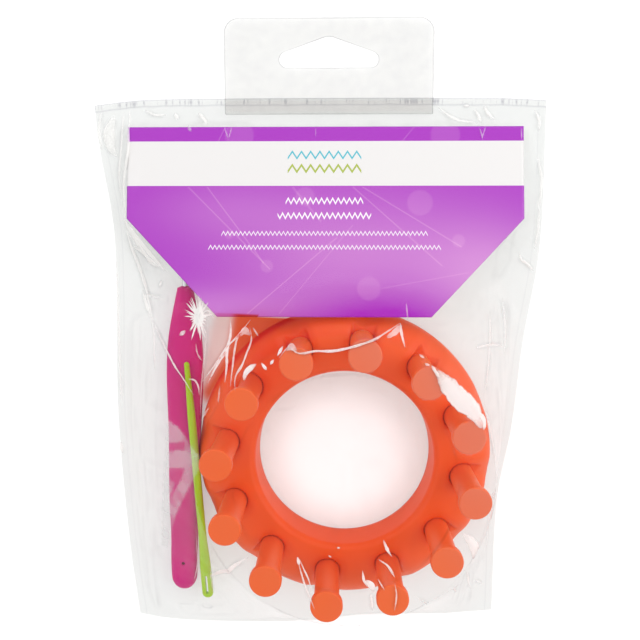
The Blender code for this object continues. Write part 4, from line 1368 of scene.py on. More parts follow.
# Down the left side: a long fold from the top corner, past the card's cut corner, to the hook's upper end.
LEFT_FOLDS = (
    Crease(((-62.5, 38), (-61, 29.5), (-59, 23.5), (-57, 16.5), (-55.5, 10), (-54, 5.5)), 0.5, 1.1, 0.5),
    Crease(((-60, 36), (-57, 31.5), (-53.5, 27), (-49, 22)), 0.9, 1.1, 0.3, 1.4, Fold.SOFT),
    Crease(((-58.5, 32), (-55, 26.5), (-51.5, 23.5)), 0.45, 1.2, 0.3),
    Crease(((-54.5, 6), (-50, -0.5), (-44.5, -7.5), (-41, -10.5), (-37, -14)), 0.32, 0.75, 0.6),
    Crease(((-55, 7), (-53.5, 2.5), (-53, -2), (-52.5, -9)), 0.26, 0.7),
    Crease(((-58, 15.5), (-56.5, 10), (-54.5, 6.5)), 0.6, 0.9),
    Crease(((-61, 30), (-56.5, 27.5), (-53.5, 24), (-50, 23.5)), 0.5, 0.85, 0.6),
    Crease(((-62.5, 39), (-60, 34.5), (-58, 31), (-56, 26.5)), 1.4, 0.9, 0.5, 1.8, Fold.SOFT),
    Crease(((-51, 19), (-52, 16.5)), 0.35, 0.7),
    Crease(((-57.5, 15), (-54.5, 13.5), (-51, 13.5)), 0.2, 0.4),
    Crease(((-60.5, 72.5), (-60.5, 59.5), (-62, 50.5), (-62, 39)), 0.48, 0.85, 0.2),
    Crease(((-62.5, 72), (-63, 62), (-64, 52), (-63.5, 44.5)), 0.42, 0.75, 0.3),
    Crease(((-65.5, 71), (-67, 67), (-67, 62), (-65, 58.5)), 2.0, 0.75, 0.4, 2.2, Fold.SOFT),
    Crease(((-69.5, 72.5), (-70.5, 67), (-70, 60.5)), 0.65, 0.5),
    Crease(((-55.5, 73), (-52.5, 71.5), (-48.5, 71.5)), 0.42, 0.8),
    Crease(((-46, 72), (-45, 70)), 0.55, 0.85),
    Crease(((-38.5, 72), (-37, 70.5), (-35.5, 68.5)), 0.6, 0.9),
    Crease(((-66.5, 26), (-66.5, 12), (-66.5, -8), (-66.5, -25)), 0.5, 0.35),
    Crease(((-67, -36), (-67, -38), (-66.5, -40)), 0.65, 0.85),
    Crease(((-35, 6.5), (-34.5, -1), (-34.5, -10.5), (-34, -18.5)), 0.3, 0.35),
    Crease(((-38, 0.5), (-37, -2.5), (-35, -4.5)), 0.28, 0.4),
    Crease(((-39.5, -10), (-37, -10), (-35.5, -11.5), (-35, -13.5)), 0.3, 0.65),
    Crease(((-44, 2), (-42, 3.5)), 0.6, 0.7),
)

# Where the film is drawn tight over the card.
CARD_FOLDS = (
    Crease(((-30, 67.5), (-28.5, 63.5)), 0.2, 0.35, 0.2),
    Crease(((-27.5, 67.5), (-28.5, 63.5)), 0.2, 0.35, 0.2),
    Crease(((-1, 67.5), (-1, 64)), 0.18, 0.2, 0.2),
    Crease(((-41.5, 68), (-40.5, 66)), 0.5, 0.35, 0.2),
    Crease(((50.5, 67), (51.5, 63)), 0.26, 0.3, 0.2),
    Crease(((52.5, 67.5), (51, 63.5)), 0.26, 0.3, 0.2),
    Crease(((63.5, 67), (63.5, 63)), 0.2, 0.35, 0.2),
    Crease(((27, 13.5), (27, 8.5)), 0.25, 0.3, 0.2),
    Crease(((-37, 9), (-34.5, 10), (-32.5, 8)), 0.25, 0.6, 0.2),
)

# The upper right corner and the right side.
RIGHT_FOLDS = (
    Crease(((37.5, 73.5), (41, 71), (44, 69.5), (46.5, 69), (50, 68.5)), 0.4, 0.85),
    Crease(((49, 73), (50.5, 70.5), (51, 68.5)), 0.5, 0.85),
    Crease(((45.5, 74), (47.5, 74)), 0.4, 0.7),
    Crease(((52, 74), (53, 72), (55.5, 69.5)), 0.55, 0.9),
    Crease(((68, 72.5), (69.5, 69.5), (69.5, 66)), 0.55, 0.75),
    Crease(((69.5, 58), (71, 51), (70.5, 42)), 0.5, 0.7),
    Crease(((70.5, 43), (70.5, 35), (69.5, 28.5)), 0.42, 0.6),
    Crease(((64.5, 27.5), (65.5, 25.5), (67, 24.5), (69.5, 22)), 0.5, 0.85),
    Crease(((48, -0.5), (53.5, -0.5), (59, -1.5)), 0.3, 0.45),
    Crease(((55, 9.5), (53.5, -1), (51.5, -8.5), (49, -13.5)), 0.32, 0.35),
    Crease(((59.5, 13), (60, 4), (59.5, -5.5)), 0.4, 0.3),
    Crease(((49, -15), (50, -20.5), (51.5, -31.5)), 0.24, 0.6),
    Crease(((51.5, -27.5), (52.5, -37), (56, -52.5), (57, -62.5), (56.5, -73.5)), 0.35, 0.4),
)

# Over the ring, from the hook's corner of the card round past the upper pegs.
RING_FOLDS = (
    Crease(((-20.5, 8), (-24.5, 3), (-27, 0.5), (-30, -4), (-34.5, -10)), 0.3, 0.85, 0.5),
    Crease(((-26, 0.5), (-29, -3.5), (-32.5, -10)), 0.33, 0.85, 0.5),
    Crease(((-27, 7.5), (-26.5, 3.5), (-27, -0.5), (-26.5, -4.5), (-26.5, -8.5)), 0.5, 0.95, 0.5),
    Crease(((-21.5, 5.5), (-24, 3), (-24.5, 0), (-24.5, -4.5), (-24.5, -9)), 0.33, 0.7, 0.5),
    Crease(((-20.5, 6), (-19.5, 3), (-20.5, -0.5), (-21.5, -3.5), (-23, -6), (-23, -10)), 0.33, 0.7, 0.5),
    Crease(((-23.5, 3.5), (-22, 5), (-20, 4)), 0.85, 0.5),
    Crease(((-19.5, 6), (-17.5, 4)), 0.33, 0.5),
    Crease(((-20.5, -7), (-20, -5), (-18.5, -3.5), (-17, -2.5)), 0.85, 1.0, 0.4, 1.6, Fold.SOFT),
    Crease(((-15.5, -2), (-14, -4)), 0.55, 0.95),
    Crease(((-13, -2.5), (-12, -1)), 0.42, 0.9),
    Crease(((-11, 0), (-9.5, 2.5)), 0.4, 0.95),
    Crease(
        ((-10.5, -0.5), (-7.5, 2.5), (-5.5, 1), (0, 1.5), (4.5, 1.5), (9.5, 2.5), (17, 5), (24.5, 8)),
        0.38, 0.8, 0.5,
    ),
    Crease(((-8.5, 1.5), (-7, 2.5), (-5.5, 1.5)), 0.8, 0.5),
    Crease(((20, 5), (22.5, 6), (25, 7.5)), 0.9, 0.55),
    Crease(((24.5, 8), (24.5, 5.5), (25, 2.5)), 0.45, 0.7),
    Crease(((29, 0.5), (30.5, -0.5)), 0.34, 0.5),
    Crease(((30.5, -2), (32, -2.5)), 0.37, 0.6),
    Crease(((32.5, -2.5), (35, -6.5)), 0.5, 0.9),
    Crease(((34, -4), (37.5, -8.5), (41, -12.5), (44.5, -15.5), (47, -20.5)), 3.1, 1.2, 0.5, 3.4, Fold.SOFT),
    Crease(((46.5, -16.5), (48, -19), (47.5, -21)), 0.85, 1.1),
    Crease(((-28, -9.5), (-28, -14)), 0.3, 0.35),
    Crease(((-31, -15.5), (-33.5, -19.5)), 0.3, 0.35),
)

# Round the lower pegs and in the two lower corners.
LOWER_FOLDS = (
    Crease(((42.5, -52), (45, -54.5), (47, -61.5)), 1.5, 1.0, 0.4, 1.8, Fold.SOFT),
    Crease(((14.5, -66.5), (16, -68), (17, -70)), 0.9, 1.0),
    Crease(((-34, -73.5), (-28, -66.5), (-23.5, -62), (-20, -60)), 0.75, 0.95, 0.5, 1.4),
    Crease(((-5.5, -60), (-4.5, -64), (-3, -69.5), (-1.5, -73), (-0.5, -76)), 0.26, 0.75),
    Crease(((-5, -60), (-3.5, -63.5), (-2, -67.5), (-1.5, -70.5)), 0.24, 0.75),
    Crease(((-5.5, -59.5), (-5, -62)), 0.5, 0.85),
    Crease(((13.5, -63.5), (14, -66.5), (15, -68.5)), 0.33, 0.85),
    Crease(((16, -70.5), (16.5, -76)), 0.42, 0.9),
    Crease(((19.5, -54), (21, -57.5), (22, -59)), 0.45, 0.85),
    Crease(((18, -60), (20.5, -61.5), (23, -65.5)), 0.36, 0.75),
    Crease(((18, -66), (20, -69.5)), 0.22, 0.65),
    Crease(((23, -67.5), (23.5, -70.5), (23, -76)), 0.24, 0.65),
    Crease(((6, -56.5), (7, -56.5)), 0.3, 0.6),
    Crease(((3.5, -59), (4.5, -59.5)), 0.28, 0.5),
    Crease(((-36.5, -56.5), (-38, -69.5), (-41, -80)), 0.2, 0.55),
    Crease(((47.5, -73), (51, -85)), 0.37, 0.6),
    Crease(((43, -77), (45.5, -83.5)), 0.37, 0.55),
    Crease(((52.5, -81.5), (55.5, -84.5)), 0.32, 0.5),
    Crease(((28.5, -71), (39, -77.5), (47, -79)), 0.25, 0.35),
    Crease(((-33, -67.5), (-34.5, -82.5)), 0.24, 0.35),
)

# The card's cut corner presses the film into a starburst over the hook's upper end: spikes of uneven length,
# longer up and down the film, round a crushed spot.
BURST_AT = np.array([-37.8, 8.0])
BURST_SPOT = ((0, 3.2), (0.5, -3.2))


def burst(count: int = 40) -> tuple[Crease, ...]:
    """The starburst's creases, as many as count and the spot in their middle."""
    rng = np.random.default_rng(6)
    spikes = [Crease(tuple(tuple(BURST_AT + end) for end in BURST_SPOT), 1.9, 1.3, 0.4, 1.2, Fold.SOFT)]
    for turn in np.arange(count) * 2 * np.pi / count + rng.uniform(-0.1, 0.1, count):
        reach = rng.uniform(4.0, 9.5)
        way = np.array([0.55 * math.cos(turn), 0.85 * math.sin(turn)])
        line = tuple(tuple(BURST_AT + way * run) for run in (0.1, 0.5 * reach, reach))
        spikes.append(Crease(line, float(rng.uniform(0.14, 0.34)), float(rng.uniform(0.85, 1.3)), 0.2, 0.6))
    return tuple(spikes)


# Each crease carries a painted glint: a white streak that stands in for lamp light mirrored in the fold.
CREASES = LEFT_FOLDS + CARD_FOLDS + RIGHT_FOLDS + RING_FOLDS + LOWER_FOLDS + burst()

# Painted glare over the hook's lower half: milky white standing in for a lamp mirrored in the film, with two
# clear gaps in it.
PAINTED_GLARE_PATCHES = (
    Patch(
        (
            (-46.5, -23.5), (-43, -24), (-40, -25.5), (-37.5, -27.5), (-34, -29), (-34, -33.5), (-37, -39),
            (-40.5, -45.5), (-44, -52.5), (-47.5, -61.5), (-49.5, -68.5), (-52, -68.5), (-49.5, -50),
        ),
        0.95,
    ),
    Patch(((-46.5, -30.5), (-39.5, -27.5), (-39.5, -30), (-46.5, -33)), -0.8),
    Patch(((-47, -38.5), (-39.5, -35.5), (-41, -39.5), (-47.5, -51), (-44, -42), (-47, -41.5)), -0.8),
)

# Painted reflection: film drawn up from the ring to the card's corner is tinted orange, standing in for the
# ring's side mirrored in it.
PAINTED_RING_REFLECTIONS = (
    Patch(((-26, 11), (4, 11), (4, 0), (-30, -16), (-34.5, -13), (-31, -7), (-27, 0)), 1.0),
    Patch(((-36.5, -17), (-34.5, -6), (-32, 11), (-26, 11), (-27, 0), (-31, -7), (-34.5, -13)), 0.3),
)


@dataclass
class Pouch:
    """The pouch: a flat back film and a front film that is stretched over what it holds."""

    loom: Loom
    card: HeaderCard
    tools: tuple[LoomHook, YarnNeedle]
    front: ClearFilm = ClearFilm("clear cast polypropylene film, front")
    back: ClearFilm = ClearFilm("clear cast polypropylene film, back", veil=0.0)
    pressed: PaintedGlint = PaintedGlint()
    creases: tuple[Crease, ...] = CREASES
    painted_glare_patches: tuple[Patch, ...] = PAINTED_GLARE_PATCHES
    # Painted reflection of the ring: where it lies, how far it stays short of the card, and how soft its
    # edge is.
    painted_ring_reflections: tuple[Patch, ...] = PAINTED_RING_REFLECTIONS
    reflection_clear_of_card: float = 1.1 * MM
    reflection_soften_rounds: int = 16
    mirror_middle: tuple[float, float] = (0.035, 0.07)
    mirror_edge: tuple[float, float] = (0.94, 0.98)
    slack_haze: float = 0.02
    # Painted sheen on the caps towards the key light.
    painted_cap_sheen: float = 0.28
    # Where the films clear over the loom's opening: on the back film, painted light in the opening and
    # painted shade at its upper edge.
    clear_reach: tuple[float, float] = (14 * MM, 30 * MM)
    clear_below: float = 3 * MM
    gap: float = 0.15 * MM
    side_weld: float = 2.5 * MM
    top_weld: float = 5.9 * MM
    bottom_fold: float = 1.2 * MM
    cling: float = 130.0
    cling_from: tuple[float, float] = (2 * MM, 14 * MM)
    levels: tuple[tuple[int, int, int], ...] = (
        (44, 37, 500), (87, 73, 300), (173, 145, 200), (345, 289, 60),
    )
    back_level: tuple[int, int] = (178, 145)
    flat: tuple[float, float] = (0.151, 0.180)
    fold_steps: int = 30
    fold_sides: int = 12
    fold_rise: float = 0.1
    raggedness: dict = field(default_factory=lambda: {Fold.SHARP: 0.3, Fold.SOFT: 0.12})
    edge_gain: dict = field(default_factory=lambda: {Fold.SHARP: 2.4, Fold.SOFT: 1.5})

    def __post_init__(self) -> None:
        """Find the pouch's outline on the back film, and part it at its corners into four sides."""
        mesh = frame["nodes"]["pouch_back_film"].data
        points = np.empty(len(mesh.vertices) * 3, np.float32)
        mesh.vertices.foreach_get("co", points)
        points = points.reshape(-1, 3).astype(float)
        self.low, self.high = points.min(axis=0), points.max(axis=0)
        outline = np.unique(np.round(points[:, :2], 6), axis=0)
        spread = (outline - (self.low + self.high)[:2] / 2) / (self.high - self.low)[:2]
        order = np.argsort(np.arctan2(spread[:, 1], spread[:, 0]))
        outline, spread = outline[order], spread[order]
        corners = [int(np.argmax(spread @ np.array(way))) for way in ((-1, -1), (1, -1), (1, 1), (-1, 1))]
        sides = []
        for start, stop in zip(corners, corners[1:] + corners[:1]):
            steps = np.arange((stop - start) % len(outline) + 1)
            sides.append(outline[(start + steps) % len(outline)])
        self.bottom, self.right, self.top, self.left = sides[0], sides[1], sides[2][::-1], sides[3][::-1]

    def plan(self, rows: int, columns: int) -> tuple[np.ndarray, np.ndarray]:
        """Places of a grid that fills the outline. It is a Coons patch: the blend of the bottom and top
        sides, plus the blend of the left and right sides, less the blend of the four corners.

        Args:
            rows: how many rows up.
            columns: how many columns across.

        Returns:
            The places across and up.
        """
        s, t = np.linspace(0, 1, columns)[None, :, None], np.linspace(0, 1, rows)[:, None, None]
        bottom, top = along(self.bottom, columns)[None], along(self.top, columns)[None]
        left, right = along(self.left, rows)[:, None], along(self.right, rows)[:, None]
        corners = (1 - t) * ((1 - s) * bottom[:, :1] + s * bottom[:, -1:])
        corners += t * ((1 - s) * top[:, :1] + s * top[:, -1:])
        place = (1 - t) * bottom + t * top + (1 - s) * left + s * right - corners
        return place[..., 0], place[..., 1]

    def inset(self, x: np.ndarray, y: np.ndarray) -> tuple[np.ndarray, np.ndarray, np.ndarray]:
        """How far each place is from the side edges, the top edge and the bottom edge."""
        left, right = (np.interp(y, side[:, 1], side[:, 0]) for side in (self.left, self.right))
        bottom, top = (np.interp(x, side[:, 0], side[:, 1]) for side in (self.bottom, self.top))
        return np.minimum(x - left, right - x), top - y, y - bottom

    def welded(self, x: np.ndarray, y: np.ndarray) -> np.ndarray:
        """Where the films are welded together: a band along the sides and the top, and the bottom fold."""
        side, top, bottom = self.inset(x, y)
        return (side <= self.side_weld) | (top <= self.top_weld) | (bottom <= self.bottom_fold)

    def stretch(self) -> tuple[np.ndarray, np.ndarray, np.ndarray]:
        """The front film's surface, as of a stretched film over what it holds.

        From a coarse grid to a fine one, each point goes again and again to the mean of its four neighbours,
        less the square of their spacing times the curvature with which the film clings to the card, but not
        below the contents, and the welds stay down.

        Returns:
            The places across, up and out.
        """
        height = None
        for rows, columns, rounds in self.levels:
            x, y = self.plan(rows, columns)
            pieces = (self.loom, self.card, *self.tools)
            floor = self.gap + np.max([piece.height_over(x, y) for piece in pieces], axis=0)
            fixed = self.welded(x, y)
            floor = np.where(fixed, self.weld_z, np.maximum(floor, self.weld_z))
            if height is None:
                height = floor.copy()
            else:
                shares = np.meshgrid(np.linspace(0, 1, columns), np.linspace(0, 1, rows))
                height = sample(height, *shares)
            spacing = (self.high[1] - self.low[1]) / (rows - 1)
            clinging = self.cling * smooth(*self.cling_from, y) * spacing ** 2 / 4
            for _ in range(rounds):
                mean = (height[:-2, 1:-1] + height[2:, 1:-1] + height[1:-1, :-2] + height[1:-1, 2:]) / 4
                height[1:-1, 1:-1] = np.maximum(mean - clinging[1:-1, 1:-1], floor[1:-1, 1:-1])
                height[fixed] = self.weld_z
        self.floor = floor
        return x, y, height

    def crumple(self, x: np.ndarray, y: np.ndarray) -> np.ndarray:
        """Fine unevenness of handled film: ridged random fields at three sizes, and near the sides long
        folds that run up the film."""
        total = np.zeros_like(x)
        for pitch, rise, seed in ((17, 0.34, 3), (8.5, 0.18, 5), (4.2, 0.07, 8)):
            ridge = 1 - np.abs(lattice_noise(x, y, pitch * MM, seed)) * 2
            total += rise * MM * ridge
        beside = 1 - smooth(9 * MM, 24 * MM, self.inset(x, y)[0])
        for pitch, rise, seed in ((4.5, 0.2, 14), (2.4, 0.08, 15)):
            ridge = 1 - np.abs(lattice_noise(x, y * 0.12, pitch * MM, seed)) * 2
            total += rise * MM * ridge * beside
        return total

    def height_at(self, x: np.ndarray, y: np.ndarray) -> np.ndarray:
        """The front film's height at each place: the shares across and up the grid are moved by what they
        miss the place by, until they meet it, and the height is read there.

        Args:
            x: places across.
            y: places up.

        Returns:
            The heights.
        """
        grid_x, grid_y, grid_z = self.sheet
        reach = self.high - self.low
        s, t = (x - self.low[0]) / reach[0], (y - self.low[1]) / reach[1]
        for _ in range(14):
            miss_x, miss_y = x - sample(grid_x, s, t), y - sample(grid_y, s, t)
            s, t = np.clip(s + miss_x / reach[0], 0, 1), np.clip(t + miss_y / reach[1], 0, 1)
        return sample(grid_z, s, t)

    def clear_and_lit_opening(self, x: np.ndarray, y: np.ndarray) -> np.ndarray:
        """1 over the loom's opening, falling to 0 over the ring, with its middle set a little low. It keeps
        the front film's slack haze off the opening; on the back film it is painted light, which makes the
        opening brighter than the milky film round it, and leaves its upper edge greyer as painted shade.
        """
        off = np.hypot(x - self.loom.centre[0], y - self.loom.centre[1] + self.clear_below)
        return 1 - smooth(*self.clear_reach, off)

    def paint_edges(self, film: Object, x: np.ndarray, y: np.ndarray) -> None:
        """Give a film the mask of its welds, and each point's distance in mm from the top and side edges."""
        side, top, _ = self.inset(x, y)
        paint(film, "weld", self.welded(x, y))
        paint(film, "from_top", top / MM)
        paint(film, "from_side", side / MM)

    def paint_front(self, film: Object, x: np.ndarray, y: np.ndarray, slope: np.ndarray) -> None:
        """Give the front film its haze: the slack film's own milkiness, painted glare over the hook and a
        painted sheen on the caps towards the key light; its painted reflection of the ring, which lies
        beyond the ring's mirrored edge and short of the card; and the slope of its folds, which its material
        turns into painted shade.

        Args:
            film: the film.
            x: its points' places across.
            y: its points' places up.
            slope: the folds' slope there.
        """
        bare = self.card.height_over(x, y) <= 0
        haze = self.slack_haze * (1 - self.clear_and_lit_opening(x, y)) * (1 + lattice_noise(x, y, 9 * MM, 11)) * bare
        mottle = 0.9 + 0.5 * lattice_noise(x, y, 3.5 * MM, 12)
        # Painted glare: the glare patches raise the haze, and the film shows it as milky white.
        milk_and_glare = soften(np.clip(np.sum([veil.over(x, y) for veil in self.painted_glare_patches], axis=0), 0, 1), 1)
        # Painted highlight: the haze is raised over the caps on their side towards the key light.
        away = np.stack([x - self.loom.centre[0], y - self.loom.centre[1]]) / self.loom.outer_radius
        cap_sheen_share = smooth(-0.3, 1.1, away[0] * 0.8 + away[1] * 0.6) * self.loom.on_caps(x, y)
        paint(film, "haze", np.clip(haze + milk_and_glare * mottle + self.painted_cap_sheen * cap_sheen_share, 0, 1))
        # Painted reflection of the ring: an orange tint beyond the ring's mirrored edge and short of the
        # card.
        off = np.hypot(away[0] - self.mirror_middle[0], away[1] - self.mirror_middle[1])
        short = self.card.height_over(x, y - self.reflection_clear_of_card) <= 0
        blush = soften(np.sum([patch.over(x, y) for patch in self.painted_ring_reflections], axis=0), self.reflection_soften_rounds)
        paint(film, "blush", blush * smooth(*self.mirror_edge, off) * short)
        paint(film, "slope", slope * bare)

    def build_front(self) -> None:
        """The front film: the stretched surface, its creases and its crumple, which fade at the welds."""
        x, y, z = self.stretch()
        side, top, bottom = self.inset(x, y)
        free = smooth(0, 6 * MM, side - self.side_weld) * smooth(0, 4 * MM, top - self.top_weld)
        free *= smooth(0, 5 * MM, bottom - self.bottom_fold)
        held = smooth(0, 1.2 * MM, z - self.floor)
        rise = self.crumple(x, y) * free * (0.35 + 0.65 * held)
        for crease in self.creases:
            rise += crease.lift(x, y) * smooth(0, 2 * MM, side) * smooth(0, 2 * MM, top)
        raised = np.maximum(z + rise, self.floor)
        steps = [
            np.gradient(raised - z, axis=axis) / np.gradient(place, axis=axis)
            for axis, place in ((1, x), (0, y))
        ]
        self.sheet = (x, y, raised)
        film = add_field("pouch_front_sheet", x, y, raised, self.front.make())
        self.paint_front(film, x, y, np.hypot(*steps))
        self.paint_edges(film, x, y)
        folds = self.build_folds()
        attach(film, "pouch")
        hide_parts("pouch_front_film")

    def build_folds(self) -> Object:
        """The painted glints along the front film's folds, as one piece of many low ridges.

        A ridge follows its crease on the film. Its section is a flat oval, whose half width is the sine of
        its share of the way along, to the power 0.7, so that it ends in points, and its fold's raggedness
        makes it uneven.

        Returns:
            The folds.
        """
        turn = circle(self.fold_sides)
        share = np.linspace(0, 1, self.fold_steps)
        points, faces, white = [], [], []
        for number, crease in enumerate(self.creases):
            path = crease.trace(self.fold_steps)
            way = np.gradient(path, axis=0)
            way /= np.maximum(np.hypot(*way.T), 1e-9)[:, None]
            across = np.stack([-way[:, 1], way[:, 0]], axis=1)
            ragged = lattice_noise(path[:, 0] + 0.31 * number, path[:, 1], 0.8 * MM, 21)
            half = crease.mark * MM * np.sin(np.pi * (0.02 + 0.96 * share)) ** 0.7
            half *= 1 + self.raggedness[crease.fold] * ragged
            place = path[:, None] + (half[:, None] * np.cos(turn))[..., None] * across[:, None]
            rise = min(0.2 * crease.mark, self.fold_rise) * MM
            rise = rise * np.sin(np.pi * share)[:, None] * np.sin(turn)
            base = self.height_at(place[..., 0], place[..., 1])
            ring = np.concatenate([place, (base + rise)[..., None]], axis=-1)
            ends = np.stack([ring[0].mean(axis=0), ring[-1].mean(axis=0)])
            points += [ring.reshape(-1, 3), ends]
            start = number * (self.fold_steps * self.fold_sides + 2)
            faces += [part + start for part in loft_faces(self.fold_steps, self.fold_sides)]
            fade = crease.white * np.sin(np.pi * (0.04 + 0.92 * share)) ** 0.5
            face = np.clip(self.edge_gain[crease.fold] * np.sin(turn), 0, 1)
            white += [(fade[:, None] * face).ravel(), np.zeros(2)]
        # Painted glints: the ridges are white where their white attribute says.
        thing = add_piece("pouch_front_folds", np.concatenate(points), faces, self.pressed.make())
        paint(thing, "white", np.concatenate(white))
        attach(thing, "pouch")
        return thing

    def build_back(self) -> None:
        """The back film: flat on what the pack lies on, with a slight crumple."""
        x, y = self.plan(*self.back_level)
        side, top, bottom = self.inset(x, y)
        free = smooth(0, 5 * MM, side) * smooth(0, 6 * MM, top) * smooth(0, 5 * MM, bottom)
        z = self.low[2] + 0.2 * MM + 0.25 * self.crumple(x, y) * free
        film = add_field("pouch_back_sheet", x, y, z, self.back.make())
        # Painted light: the back film is milky everywhere but over the loom's opening, which so reads
        # bright.
        paint(film, "haze", 1 - self.clear_and_lit_opening(x, y))
        self.paint_edges(film, x, y)
        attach(film, "pouch")
        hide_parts("pouch_back_film")

    def build(self) -> None:
        """Make both films."""
        self.weld_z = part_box("pouch_front_film")[0][2]
        self.build_back()
        self.build_front()


# ---------------------------------------------------------------- hang tab


@dataclass(frozen=True)
class ClearSheet(Glazed):
    """Calendered PET sheet, die cut: clear, flat and glossy, and grey at its cut edges, which trap light."""

    name: str = "clear PET sheet, die cut"
    gloss: float = 0.08
    face_on: float = 0.02
    slant_on: float = 0.98
    body: str = "F7F7F6"
    cloudy: str = "F2F2F2"
    cut: str = "DCDCDC"
    wave_size: float = 16 * MM
    cloud_size: float = 3 * MM

    def shader(self, tree: NodeTree) -> NodeSocket:
        """The shader, on the piece's cut attribute."""
        place = add(tree, "ShaderNodeTexCoord")["Object"]
        wave, cloud = (
            add(tree, "ShaderNodeTexNoise", {"Scale": 1 / size, "Detail": detail}, {"Vector": place})["Fac"]
            for size, detail in ((self.wave_size, 1.0), (self.cloud_size, 3.0))
        )
        bump = add(tree, "ShaderNodeBump", {"Strength": 0.25, "Distance": 0.3 * MM}, {"Height": wave})[0]
        cut = add(tree, "ShaderNodeAttribute", attribute_name="cut")["Fac"]
        bodies = {6: linear(self.body), 7: linear(self.cloudy)}
        body = add(tree, "ShaderNodeMix", bodies, {"Factor": cloud}, data_type="RGBA")[2]
        edge = {7: linear(self.cut)}
        tint = add(tree, "ShaderNodeMix", edge, {"Factor": cut, 6: body}, data_type="RGBA")[2]
        through = add(tree, "ShaderNodeBsdfTransparent", {}, {"Color": tint})[0]
        return self.glazed(tree, through, bump)


@dataclass(frozen=True)
class TackyStrip(Finish):
    """Transfer adhesive, rolled on: a slightly pink, cloudy strip with trapped bubbles, nearly all clear."""

    name: str = "transfer adhesive, rolled"
    colour: str = "F9F5F6"
    bubble: str = "FCFAFA"
    bubble_size: float = 1.8 * MM
    through: str = "FFFEFE"
    thin: float = 0.999

    def shader(self, tree: NodeTree) -> NodeSocket:
        """The shader."""
        place = add(tree, "ShaderNodeTexCoord")["Object"]
        bubbles = {"Scale": 1 / self.bubble_size, "Detail": 3.0}
        spots = add(tree, "ShaderNodeTexNoise", bubbles, {"Vector": place})
        colours = {6: linear(self.colour), 7: linear(self.bubble)}
        tone = add(tree, "ShaderNodeMix", colours, {"Factor": spots["Fac"]}, data_type="RGBA")[2]
        solid = add(tree, "ShaderNodeBsdfPrincipled", {"Roughness": 0.6}, {"Base Color": tone})[0]
        through = add(tree, "ShaderNodeBsdfTransparent", {"Color": linear(self.through)})[0]
        return add(tree, "ShaderNodeMixShader", {0: self.thin}, {1: solid, 2: through})[0]


def hull_reach(discs: np.ndarray, centre: np.ndarray, angle: np.ndarray) -> np.ndarray:
    """How far the outline round some discs lies from a place inside it, along each angle.

    For each normal the outline lies no further than the disc that reaches furthest along it, so along a ray
    it lies at the least of (that reach less the centre's) over (the ray's share along the normal).

    Args:
        discs: rows of x, y and radius.
        centre: the place.
        angle: the rays' angles.

    Returns:
        The distances.
    """
    turn = circle(1440)
    normal = np.stack([np.cos(turn), np.sin(turn)])
    furthest = (discs[:, :2] @ normal + discs[:, 2:]).max(axis=0) - centre @ normal
    ray = np.stack([np.cos(angle), np.sin(angle)], axis=1) @ normal
    return np.where(ray > 1e-6, furthest / np.maximum(ray, 1e-6), np.inf).min(axis=1)


